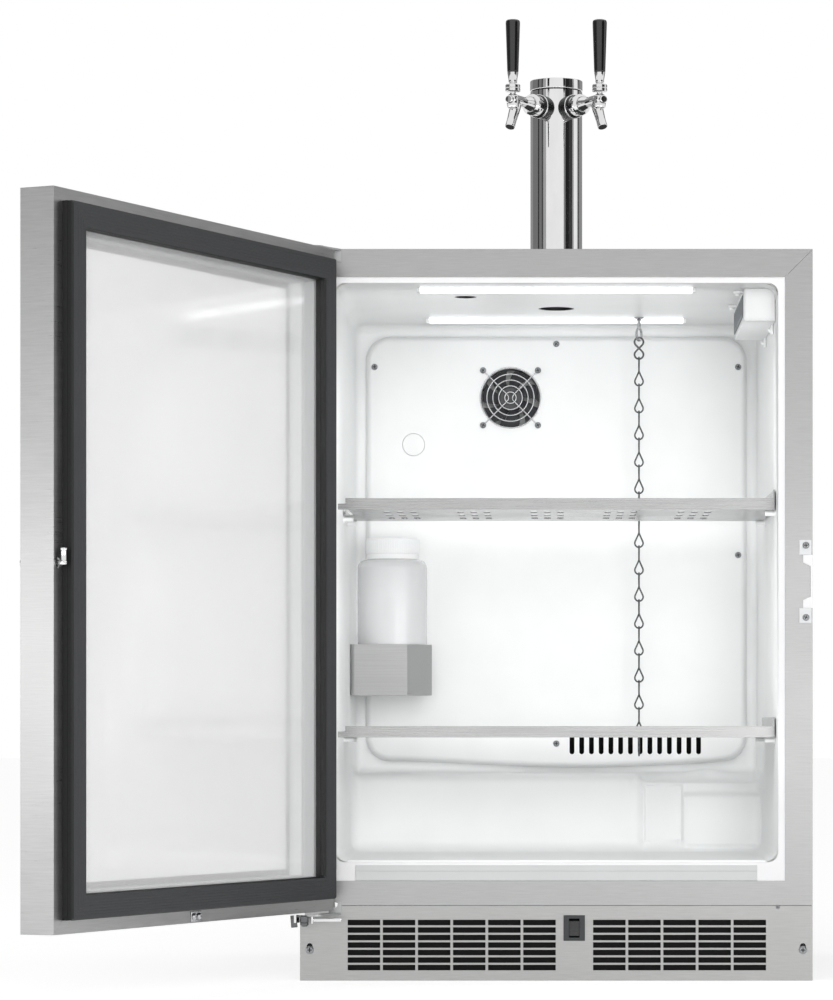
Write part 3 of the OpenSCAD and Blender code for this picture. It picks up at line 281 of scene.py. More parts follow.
@dataclass(frozen=True)
class BrushedSteel(Finish):
    """Stainless sheet, belt brushed: fine parallel marks that draw reflections out across them.

    The real marks are about 0.05 mm wide, too fine to show, so they are drawn about 1 mm wide.
    """

    grain: Grain = Grain.UPRIGHT
    on_door: bool = False
    metallic: float = 1.0
    edge: float = 0.7

    def place(self, tree: bpy.types.NodeTree) -> bpy.types.NodeSocket:
        """Returns coordinates, turned back to the closed door where the piece is on it.

        Args:
            tree: The material's tree.

        Returns:
            The coordinates.
        """
        spot = add(tree, "ShaderNodeTexCoord").outputs["Object"]
        if not self.on_door:
            return spot
        back = Matrix.Rotation(DOOR_OPEN, 3, "Z")
        shift = (DOOR_PIN - back @ DOOR_PIN) * MM
        closing = {"Location": shift, "Rotation": (0, 0, DOOR_OPEN)}
        return add(tree, "ShaderNodeMapping", closing, {"Vector": spot}).outputs[0]

    def detail(self, tree: bpy.types.NodeTree, shader: bpy.types.Node) -> None:
        """Brush marks in colour, roughness and relief, under slow clouds in the roughness.

        Args:
            tree: The material's tree.
            shader: The node that the pattern is linked to.
        """
        spot = self.place(tree)
        marks = self.noise(tree, self.grain.value, 4.0, spot)
        clouds = self.noise(tree, (160, 160, 160), 2.0, spot)
        both = add(tree, "ShaderNodeMath", {"operation": "ADD"}, {0: marks, 1: clouds}).outputs[0]
        half = add(tree, "ShaderNodeMath", {"operation": "MULTIPLY", 1: 0.5}, {0: both}).outputs[0]
        tree.links.new(self.tint(tree, marks, 0.07), shader.inputs["Base Color"])
        rough = self.spread(tree, half, self.roughness - 0.07, self.roughness + 0.07)
        tree.links.new(rough, shader.inputs["Roughness"])
        shader.inputs["Anisotropic"].default_value = 0.35
        self.relief(tree, shader, marks, 0.12, 0.05, self.edge)


@dataclass(frozen=True)
class BrightMetal(Finish):
    """Polished chrome, stainless or zinc: a mirror with faint smears and slow waves from polishing."""

    metallic: float = 1.0
    wave: float = 0.02
    edge: float = 0.0

    def detail(self, tree: bpy.types.NodeTree, shader: bpy.types.Node) -> None:
        """Smears in the roughness and slow waves in the relief.

        Args:
            tree: The material's tree.
            shader: The node that the pattern is linked to.
        """
        smear = self.noise(tree, (14, 14, 30), 4.0)
        rough = self.spread(tree, smear, self.roughness * 0.6, self.roughness * 1.7)
        tree.links.new(rough, shader.inputs["Roughness"])
        tree.links.new(self.tint(tree, smear, 0.03), shader.inputs["Base Color"])
        self.relief(tree, shader, self.noise(tree, (35, 35, 60), 1.0), self.wave, 0.2, self.edge)


@dataclass(frozen=True)
class MouldedPlastic(Finish):
    """Moulded plastic or rubber: a fine even grain from the tool, with slow shade changes.

    The tool's grain is about 0.2 mm, too fine to show, so it is drawn grain millimetres wide.
    """

    grain: float = 1.6
    bump: float = 0.1
    coat: float = 0.0
    alpha: float = 1.0
    scatter: float = 0.0
    edge: float = 0.0

    def detail(self, tree: bpy.types.NodeTree, shader: bpy.types.Node) -> None:
        """Grain in relief and roughness, slow shade changes in colour.

        Args:
            tree: The material's tree.
            shader: The node that the pattern is linked to.
        """
        fine = self.noise(tree, (self.grain,) * 3, 2.0)
        slow = self.noise(tree, (90, 90, 90), 2.0)
        tree.links.new(self.tint(tree, slow, 0.02), shader.inputs["Base Color"])
        rough = self.spread(tree, fine, max(self.roughness - 0.05, 0.02), self.roughness + 0.05)
        tree.links.new(rough, shader.inputs["Roughness"])
        shader.inputs["Coat Weight"].default_value = self.coat
        shader.inputs["Coat Roughness"].default_value = 0.08
        shader.inputs["Alpha"].default_value = self.alpha
        shader.inputs["Subsurface Weight"].default_value = self.scatter
        shader.inputs["Subsurface Scale"].default_value = 0.004
        self.relief(tree, shader, fine, self.bump, 0.1, self.edge)
        if self.alpha < 1:
            self.pass_light(tree, shader)


@dataclass(frozen=True)
class PaintedSheet(Finish):
    """Baked enamel on sheet steel: a faint orange peel about 2.5 mm across under a satin gloss."""

    edge: float = 0.8

    def detail(self, tree: bpy.types.NodeTree, shader: bpy.types.Node) -> None:
        """Orange peel in relief, faint dust in the roughness.

        Args:
            tree: The material's tree.
            shader: The node that the pattern is linked to.
        """
        peel = self.noise(tree, (2.5, 2.5, 2.5), 1.0)
        dust = self.noise(tree, (60, 60, 60), 5.0)
        rough = self.spread(tree, dust, self.roughness - 0.06, self.roughness + 0.08)
        tree.links.new(rough, shader.inputs["Roughness"])
        tree.links.new(self.tint(tree, dust, 0.12), shader.inputs["Base Color"])
        self.relief(tree, shader, peel, 0.15, 0.06, self.edge)


@dataclass(frozen=True)
class FloatGlass(Finish):
    """Float glass under a film of mist from the cold: lamps and room light pass through it."""

    clear: float = 0.84

    def detail(self, tree: bpy.types.NodeTree, shader: bpy.types.Node) -> None:
        """Haze in the roughness.

        Args:
            tree: The material's tree.
            shader: The node that the pattern is linked to.
        """
        haze = self.noise(tree, (70, 70, 140), 3.0)
        rough = self.spread(tree, haze, self.roughness * 0.5, self.roughness * 1.5)
        tree.links.new(rough, shader.inputs["Roughness"])
        shader.inputs["Transmission Weight"].default_value = self.clear
        shader.inputs["IOR"].default_value = 1.45
        self.pass_light(tree, shader)


@dataclass(frozen=True)
class LampDiffuser(Finish):
    """Opal diffuser over a row of lamps: even, cool white light."""

    power: float = 1.0

    def detail(self, tree: bpy.types.NodeTree, shader: bpy.types.Node) -> None:
        """Lets the surface glow, a little unevenly from lamp to lamp.

        Args:
            tree: The material's tree.
            shader: The node that the pattern is linked to.
        """
        spots = self.noise(tree, (12, 40, 40), 1.0)
        tree.links.new(self.tint(tree, spots, 0.02), shader.inputs["Base Color"])
        shader.inputs["Emission Color"].default_value = linear("#FBFDFF")
        shader.inputs["Emission Strength"].default_value = self.power


FRONT = BrushedSteel("front_stainless", "#B2B2B2", 0.34, grain=Grain.AROUND)
GRILLE = BrushedSteel("grille_stainless", "#B2B2B1", 0.34, grain=Grain.AROUND)
DOOR_STEEL = BrushedSteel("door_stainless", "#B3B3B3", 0.32, grain=Grain.AROUND, on_door=True)
SHELF_STEEL = BrushedSteel("shelf_stainless", "#B6B6B6", 0.27, grain=Grain.ACROSS, edge=0.5)
BRACKET_STEEL = BrushedSteel("bracket_stainless", "#BFBFBF", 0.36, grain=Grain.ACROSS, edge=0.4)
HINGE_STEEL = BrushedSteel("hinge_steel", "#5E5F61", 0.35, grain=Grain.ACROSS, edge=0.4)
STRIKE_STEEL = BrushedSteel("strike_steel", "#909192", 0.33, edge=0.4)
TOWER_CHROME = BrightMetal("tower_polished_stainless", "#E4E4E4", 0.045)
TAP_CHROME = BrightMetal("tap_chrome_plate", "#E2E2E2", 0.06)
ZINC = BrightMetal("bright_zinc", "#B9BABC", 0.2)
WIRE = BrightMetal("wire_chrome", "#C8C9CA", 0.14)
SCREW_STEEL = BrightMetal("screw_stainless", "#9B9D9F", 0.26)
CHAIN_ZINC = BrightMetal("chain_zinc", "#6C6D6E", 0.16)
LINER_WHITE = MouldedPlastic("liner_polystyrene", "#F8F9F9", 0.34, grain=1.8, bump=0.04)
COVER_WHITE = MouldedPlastic("cover_polystyrene", "#EEEFEF", 0.36, grain=1.8, bump=0.04)
STRIP_WHITE = MouldedPlastic("strip_vinyl", "#FBFBFC", 0.4, bump=0.03, edge=0.6)
SILL_GREY = MouldedPlastic("sill_plastic", "#D9DBDB", 0.45, bump=0.05, edge=0.6)
HOUSING_WHITE = MouldedPlastic("housing_abs", "#F7F8F8", 0.4, bump=0.06)
PANEL_GREY = MouldedPlastic("panel_film", "#7B7F82", 0.5, bump=0.02)
LAMP = LampDiffuser("lamp_opal", "#FFFFFF", 0.4, power=1.7)
CAP_WHITE = MouldedPlastic("cap_polypropylene", "#F4F4F4", 0.42, bump=0.05, scatter=0.1)
BOTTLE_MILK = MouldedPlastic(
    "bottle_polyethylene", "#D6D7D8", 0.2, grain=3.0, bump=0.03, alpha=0.85, coat=0.5
)
GLASS = FloatGlass("door_float_glass", "#FFFFFF", 0.09)
GASKET = MouldedPlastic("gasket_vinyl", "#353638", 0.6, grain=1.4, bump=0.12)
# Near-black vinyl of the carrier, also laid on the gasket's side flanks as painted shade.
CARRIER_AND_FLANK_SHADE = MouldedPlastic("carrier_vinyl_and_flank_shade", "#0E0F10", 0.6, bump=0.1)
# The spacer bar is drawn near-white and the door core lighter than its own white: painted light against
# the shade in the glass pocket.
SPACER_PAINTED_LIGHT = MouldedPlastic("spacer_bar", "#FCFCFC", 0.45)
CORE_PAINTED_LIGHT = MouldedPlastic("door_core_plastic_painted_light", "#F4F5F5", 0.5, bump=0.05, edge=0.5)
BLACK_ABS = MouldedPlastic("black_abs", "#1B1C1E", 0.42, bump=0.12, edge=0.4)
DARK_ABS = MouldedPlastic("dark_abs", "#37393B", 0.48, bump=0.12)
FAN_DARK = MouldedPlastic("fan_nylon", "#4A4B4D", 0.4, bump=0.1)
GLOSS_BLACK = MouldedPlastic("handle_phenolic", "#151516", 0.12, grain=4.0, bump=0.01, coat=0.6)
RUBBER = MouldedPlastic("mount_rubber", "#202021", 0.7, bump=0.2)
FOAM = MouldedPlastic("foam_blocks", "#F1F1EC", 0.85, grain=3.0, bump=0.4)
# Near-black sheet behind the grille and the vents: partly a filter, partly painted shade where the bay
# and duct lie in shadow.
FILTER_AND_SHADE = MouldedPlastic("filter_foam_and_shade", "#070707", 0.95, grain=1.6, bump=0.6)
SHELL_BLACK = PaintedSheet("shell_enamel", "#242527", 0.42)
REAR_GREY = PaintedSheet("rear_enamel", "#303133", 0.5)
PAN_ZINC = BrushedSteel("pan_zinc", "#9B9D9F", 0.5, grain=Grain.NONE)
PUMP_BLACK = PaintedSheet("pump_enamel", "#1D1E20", 0.32)
COPPER = BrightMetal("copper_tube", "#A8704F", 0.32)
FINS = BrightMetal("fin_aluminium", "#D4D6D8", 0.3)


# Mesh work. Sizes are in millimetres, and every object stands at the origin.


def door_turn() -> Matrix:
    """Returns the turn from the closed door's place to where it stands open."""
    here = Matrix.Translation(DOOR_PIN)
    return here @ Matrix.Rotation(-DOOR_OPEN, 4, "Z") @ here.inverted()


def to_mesh(bm: bmesh.types.BMesh, name: str) -> bpy.types.Mesh:
    """Turns a working mesh, which is freed, into a mesh.

    Args:
        bm: The working mesh.
        name: The new mesh's name.

    Returns:
        The mesh.
    """
    mesh = bpy.data.meshes.new(name)
    bm.to_mesh(mesh)
    bm.free()
    return mesh


def in_mm(mesh: bpy.types.Mesh) -> bmesh.types.BMesh:
    """Returns a working copy in millimetres of a mesh in metres.

    Args:
        mesh: The mesh, which stays as it is.

    Returns:
        The working mesh.
    """
    bm = bmesh.new()
    bm.from_mesh(mesh)
    bm.transform(Matrix.Scale(1 / MM, 4))
    return bm


def link(name: str, data: bpy.types.ID) -> bpy.types.Object:
    """Adds an object with its data to the scene.

    Args:
        name: The object's name.
        data: Its mesh, lamp or camera.

    Returns:
        The object.
    """
    made = bpy.data.objects.new(name, data)
    bpy.context.scene.collection.objects.link(made)
    return made


def shade(name: str, mesh: bpy.types.Mesh, angle: float) -> bpy.types.Object:
    """Adds a mesh to the scene, smooth but for edges sharper than an angle in degrees.

    Args:
        name: The object's name.
        mesh: Its mesh.
        angle: The angle.

    Returns:
        The object.
    """
    mesh.polygons.foreach_set("use_smooth", [True] * len(mesh.polygons))
    mesh.set_sharp_from_angle(angle=math.radians(angle))
    return link(name, mesh)


def settle(made: bpy.types.Object) -> bpy.types.Mesh:
    """Returns a plain mesh of an object as its modifiers leave it.

    Args:
        made: The object, which stays as it is.

    Returns:
        The mesh.
    """
    graph = bpy.context.evaluated_depsgraph_get()
    graph.update()
    return bpy.data.meshes.new_from_object(made.evaluated_get(graph), depsgraph=graph)


def keep(
    bm: bmesh.types.BMesh, name: str, finish: Finish, angle: float = 32.0, turn: Matrix | None = None
) -> bpy.types.Object:
    """Makes an object of a mesh in millimetres.

    Args:
        bm: The mesh, which is freed.
        name: The object's name.
        finish: Its finish.
        angle: Edges sharper than this stay sharp, in degrees.
        turn: Moves the mesh to its place, in millimetres.

    Returns:
        The object, standing at the origin.
    """
    if turn is not None:
        bm.transform(turn)
    bmesh.ops.remove_doubles(bm, verts=bm.verts, dist=0.0005)
    bmesh.ops.recalc_face_normals(bm, faces=bm.faces)
    bm.transform(Matrix.Scale(MM, 4))
    mesh = to_mesh(bm, name)
    mesh.materials.append(finish.material())
    return shade(name, mesh, angle)


def rounded(points: Sequence[P2], radius: float, steps: int = 5, closed: bool = True) -> list[P2]:
    """Rounds the corners of an outline.

    Args:
        points: The corners in order.
        radius: Radius, made smaller where an edge is too short for it.
        steps: Segments in each corner.
        closed: Whether the outline closes on itself.

    Returns:
        The new outline.
    """
    out: list[P2] = []
    count = len(points)
    for i, point in enumerate(points):
        here = Vector(point)
        if not closed and i in (0, count - 1):
            out.append(tuple(here))
            continue
        before, after = Vector(points[i - 1]) - here, Vector(points[(i + 1) % count]) - here
        if before.length < 1e-6 or after.length < 1e-6:
            continue
        spread = before.angle(after)
        if spread > math.radians(176) or spread < math.radians(4):
            out.append(tuple(here))
            continue
        cut = min(radius / math.tan(spread / 2), before.length * 0.48, after.length * 0.48)
        a, b = here + before.normalized() * cut, here + after.normalized() * cut
        for k in range(steps + 1):
            t = k / steps
            out.append(tuple(a * (1 - t) ** 2 + here * 2 * t * (1 - t) + b * t * t))
    return out


def ring_outline(x: float, z: float, radius: float, count: int = 48) -> list[P2]:
    """Returns a circle as an outline."""
    turn = [2 * math.pi * i / count for i in range(count)]
    return [(x + radius * math.cos(a), z + radius * math.sin(a)) for a in turn]


def slot_outline(x: float, z0: float, z1: float, radius: float, steps: int = 10) -> list[P2]:
    """Returns an upright slot with round ends as an outline.

    Args:
        x: Its middle line.
        z0: Its lower end.
        z1: Its upper end.
        radius: Half its width.
        steps: Segments in each end.

    Returns:
        The outline.
    """
    top = [math.pi * i / steps for i in range(steps + 1)]
    return [(x + radius * math.cos(a), z1 - radius + radius * math.sin(a)) for a in top] + [
        (x - radius * math.cos(a), z0 + radius - radius * math.sin(a)) for a in top
    ]


def lathe(profile: Sequence[P2], sides: int = 64, closed: bool = False) -> bmesh.types.BMesh:
    """Turns a profile of radius and height about Z.

    Args:
        profile: Points of radius and height.
        sides: Faces round the axis.
        closed: Whether the last point joins the first.

    Returns:
        The mesh.
    """
    bm = bmesh.new()
    rings: list[list[bmesh.types.BMVert]] = []
    for radius, height in profile:
        if radius < 1e-4:
            rings.append([bm.verts.new((0, 0, height))] * sides)
        else:
            rings.append([bm.verts.new((x, y, height)) for x, y in ring_outline(0, 0, radius, sides)])
    pairs = list(zip(rings, rings[1:]))
    if closed:
        pairs.append((rings[-1], rings[0]))
    for low, high in pairs:
        for i in range(sides):
            j = (i + 1) % sides
            corners = list(dict.fromkeys([low[i], low[j], high[j], high[i]]))
            if len(corners) > 2:
                bm.faces.new(corners)
    return bm


def loft(loops: Sequence[Sequence[P3]], cap: bool = False, closed: bool = False) -> bmesh.types.BMesh:
    """Joins loops of equal count with quads.

    Args:
        loops: The loops in order.
        cap: Whether the first and last loops are filled.
        closed: Whether the last loop joins the first.

    Returns:
        The mesh.
    """
    bm = bmesh.new()
    rows = [[bm.verts.new(p) for p in loop] for loop in loops]
    pairs = list(zip(rows, rows[1:])) + ([(rows[-1], rows[0])] if closed else [])
    for low, high in pairs:
        for i in range(len(low)):
            j = (i + 1) % len(low)
            bm.faces.new((low[i], low[j], high[j], high[i]))
    if cap:
        bm.faces.new(rows[0])
        bm.faces.new(rows[-1])
    return bm


def turned(profile: Sequence[P2], radius: float, steps: int, sides: int) -> bmesh.types.BMesh:
    """Rounds the corners of an open profile of radius and height and turns it about Z."""
    return lathe(rounded(profile, radius, steps, False), sides)


def put(x: float, y: float, z: float) -> Matrix:
    """Returns the matrix that moves a piece by a distance."""
    return Matrix.Translation((x, y, z))


def aim(place: Sequence[float], direction: Sequence[float]) -> Matrix:
    """Returns the matrix that puts Z along a direction at a place."""
    turn = Vector(direction).to_track_quat("Z", "Y").to_matrix().to_4x4()
    return Matrix.Translation(Vector(place)) @ turn


def placed(bm: bmesh.types.BMesh, turn: Matrix) -> bmesh.types.BMesh:
    """Moves a working mesh by a matrix and returns it."""
    bm.transform(turn)
    return bm


def merge(parts: Iterable[bmesh.types.BMesh]) -> bmesh.types.BMesh:
    """Joins working meshes, which are freed, into one.

    Args:
        parts: The meshes.

    Returns:
        The whole.
    """
    whole = bmesh.new()
    for part in parts:
        spare = to_mesh(part, "spare")
        whole.from_mesh(spare)
        bpy.data.meshes.remove(spare)
    return whole


def block(low: P3, high: P3, radius: float = 1.0, steps: int = 3) -> bmesh.types.BMesh:
    """Returns a block between two corners with rounded edges.

    Args:
        low: The lowest corner.
        high: The highest corner.
        radius: Radius of the edges, made smaller on a thin block.
        steps: Segments in each edge.

    Returns:
        The mesh.
    """
    bm = bmesh.new()
    bmesh.ops.create_cube(bm, size=1.0)
    size = [b - a for a, b in zip(low, high)]
    middle = [(a + b) / 2 for a, b in zip(low, high)]
    bm.transform(Matrix.Translation(middle) @ Matrix.Diagonal((*size, 1.0)))
    bmesh.ops.bevel(
        bm,
        geom=list(bm.edges),
        offset=min(radius, min(size) * 0.45),
        segments=steps,
        profile=0.5,
        affect="EDGES",
        clamp_overlap=True,
    )
    return bm


def panel(
    outer: Sequence[P2], holes: Sequence[Sequence[P2]], y: float, depth: float
) -> bmesh.types.BMesh:
    """Returns a flat panel with holes, facing -Y, whose hole walls run inwards.

    Args:
        outer: The outline in X and Z.
        holes: The outlines of the holes.
        y: The face's place.
        depth: Depth of the hole walls.

    Returns:
        The mesh.
    """
    bm = bmesh.new()
    loops = []
    for outline in (outer, *holes):
        ring = [bm.verts.new((x, y, z)) for x, z in outline]
        loops.append([bm.edges.new((ring[i - 1], ring[i])) for i in range(len(ring))])
    bmesh.ops.triangle_fill(bm, use_beauty=True, edges=[e for loop in loops for e in loop])
    walls = [e for loop in loops[1:] for e in loop]
    grown = bmesh.ops.extrude_edge_only(bm, edges=walls)["geom"]
    moved = [v for v in grown if isinstance(v, bmesh.types.BMVert)]
    bmesh.ops.translate(bm, verts=moved, vec=(0, depth, 0))
    return bm


# Geometry Nodes


class NodeMaker:
    """Builds a Geometry Nodes tree with named inputs, runs it and keeps the plain mesh.

    Args:
        name: The tree's name.
        inputs: Socket types by input name, after the base geometry.
    """

    def __init__(self, name: str, inputs: dict[str, str]) -> None:
        """Makes the tree with its sockets."""
        self.tree = bpy.data.node_groups.new(name, "GeometryNodeTree")
        face = self.tree.interface
        face.new_socket("Geometry", in_out="INPUT", socket_type="NodeSocketGeometry")
        for title, kind in {**inputs, "Finish": "NodeSocketMaterial"}.items():
            face.new_socket(title, in_out="INPUT", socket_type=kind)
        face.new_socket("Geometry", in_out="OUTPUT", socket_type="NodeSocketGeometry")
        self.start = add(self.tree, "NodeGroupInput").outputs

    def end(self, shape: bpy.types.NodeSocket) -> None:
        """Ends the tree in Realize Instances and Set Material.

        Args:
            shape: The finished geometry.
        """
        real = add(self.tree, "GeometryNodeRealizeInstances", {}, {0: shape})
        wear = {"Geometry": real.outputs[0], "Material": self.start["Finish"]}
        dressed = add(self.tree, "GeometryNodeSetMaterial", {}, wear)
        add(self.tree, "NodeGroupOutput", {}, {0: dressed.outputs[0]})

    def copy_piece(self, links: dict[Any, bpy.types.NodeSocket]) -> None:
        """Ends the tree with the input Piece copied onto points.

        Args:
            links: The copies' Points, Rotation and, where they have one, Scale.
        """
        own_space = {"transform_space": "ORIGINAL"}
        piece = add(self.tree, "GeometryNodeObjectInfo", own_space, {0: self.start["Piece"]})
        links["Instance"] = piece.outputs["Geometry"]
        copies = add(self.tree, "GeometryNodeInstanceOnPoints", {}, links)
        self.end(copies.outputs[0])

    def run(
        self, name: str, base: bpy.types.Mesh, finish: Finish, angle: float = 32.0, **values: Any
    ) -> bpy.types.Object:
        """Runs the tree on a mesh.

        Args:
            name: Name of the result.
            base: The mesh that it starts from.
            finish: The result's finish.
            angle: Edges sharper than this stay sharp, in degrees.
            **values: The tree's inputs, with _ for a space.

        Returns:
            The result as a plain mesh object.
        """
        holder = link(name + ".base", base)
        step = holder.modifiers.new("make", "NODES")
        step.node_group = self.tree
        wanted = {k.replace("_", " "): v for k, v in values.items()}
        wanted["Finish"] = finish.material()
        for item in self.tree.interface.items_tree:
            if item.in_out == "INPUT" and item.name in wanted:
                step[item.identifier] = wanted[item.name]
        mesh = settle(holder)
        mesh.name = name
        holder.modifiers.clear()
        bpy.data.objects.remove(holder)
        return shade(name, mesh, angle)


def repeat_tree() -> NodeMaker:
    """Copies a piece onto points, each turned by its own Euler angles.

    Returns:
        The tree.
    """
    maker = NodeMaker("repeat_piece", {"Piece": "NodeSocketObject", "Size": "NodeSocketFloat"})
    own_turn = {"data_type": "FLOAT_VECTOR", "Name": "turn"}
    turn = add(maker.tree, "GeometryNodeInputNamedAttribute", own_turn)
    spin = add(maker.tree, "FunctionNodeEulerToRotation", {}, {0: turn.outputs[0]})
    start = maker.start
    maker.copy_piece({"Points": start["Geometry"], "Rotation": spin.outputs[0], "Scale": start["Size"]})
    return maker


def wire_tree() -> NodeMaker:
    """Draws round wire along the edges of a mesh.

    Returns:
        The tree.
    """
    maker = NodeMaker("round_wire", {"Radius": "NodeSocketFloat", "Sides": "NodeSocketInt"})
    start = maker.start
    path = add(maker.tree, "GeometryNodeMeshToCurve", {}, {0: start["Geometry"]})
    round_bar = {"Resolution": start["Sides"], "Radius": start["Radius"]}
    section = add(maker.tree, "GeometryNodeCurvePrimitiveCircle", {}, round_bar)
    both = {"Curve": path.outputs[0], "Profile Curve": section.outputs[0]}
    skin = add(maker.tree, "GeometryNodeCurveToMesh", {"Fill Caps": True}, both)
    maker.end(skin.outputs[0])
    return maker


def polar_tree() -> NodeMaker:
    """Copies a piece evenly round the Z axis.

    Returns:
        The tree.
    """
    inputs = {"Piece": "NodeSocketObject", "Count": "NodeSocketInt", "Radius": "NodeSocketFloat"}
    maker = NodeMaker("polar_piece", inputs)
    spots = {"Vertices": maker.start["Count"], "Radius": maker.start["Radius"]}
    circle = add(maker.tree, "GeometryNodeMeshCircle", {}, spots)
    place = add(maker.tree, "GeometryNodeInputPosition")
    about_z = {"axis": "X", "pivot_axis": "Z"}
    outward = add(
        maker.tree, "FunctionNodeAlignRotationToVector", about_z, {"Vector": place.outputs[0]}
    )
    maker.copy_piece({"Points": circle.outputs[0], "Rotation": outward.outputs[0]})
    return maker


def points_mesh(spots: Sequence[P3], turns: Sequence[P3] | None = None) -> bpy.types.Mesh:
    """Returns a mesh of loose points in metres, with a turn for each.

    Args:
        spots: The places in millimetres.
        turns: Euler angles in radians, one for each place.

    Returns:
        The mesh.
    """
    mesh = bpy.data.meshes.new("points")
    mesh.from_pydata([[c * MM for c in s] for s in spots], [], [])
    turn = mesh.attributes.new("turn", "FLOAT_VECTOR", "POINT")
    for i, value in enumerate(turns or [(0, 0, 0)] * len(spots)):
        turn.data[i].vector = value
    return mesh


def paths_mesh(paths: Sequence[tuple[Sequence[P3], bool]]) -> bpy.types.Mesh:
    """Returns a mesh of edge chains in metres; each path says whether it closes.

    Args:
        paths: Points in millimetres, and whether the path closes.

    Returns:
        The mesh.
    """
    spots: list[list[float]] = []
    edges: list[tuple[int, int]] = []
    for path, closed in paths:
        first = len(spots)
        spots += [[c * MM for c in p] for p in path]
        edges += [(first + i, first + i + 1) for i in range(len(path) - 1)]
        if closed:
            edges.append((len(spots) - 1, first))
    mesh = bpy.data.meshes.new("paths")
    mesh.from_pydata(spots, edges, [])
    return mesh


def moved(made: bpy.types.Object, turn: Matrix) -> bpy.types.Object:
    """Moves a mesh by a matrix in millimetres, leaving its object at the origin.

    Args:
        made: The object.
        turn: The matrix.

    Returns:
        The same object.
    """
    up, down = Matrix.Scale(1 / MM, 4), Matrix.Scale(MM, 4)
    made.data.transform(down @ turn @ up)
    made.data.update()
    return made


def fit_on(made: bpy.types.Object, body: str, slot: str, *nodes: str) -> bpy.types.Object:
    """Lets a piece ride on a body and hides the nodes that it stands for.

    Args:
        made: The piece.
        body: The body.
        slot: Not used.
        *nodes: The CAD nodes that it stands for.

    Returns:
        The piece.
    """
    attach(made, body)
    if nodes:
        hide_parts(*nodes)
    LOG.info("%s on %s: %d faces", made.name, body, len(made.data.polygons))
    return made


def dress(finish: Finish, *nodes: str) -> None:
    """Gives CAD nodes a finish.

    Args:
        finish: The finish.
        *nodes: Names of the nodes.
    """
    for name in nodes:
        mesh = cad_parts[name].data
        mesh.materials.clear()
        mesh.materials.append(finish.material())
        LOG.info("%s wears %s", name, finish.name)


# Sub-assemblies


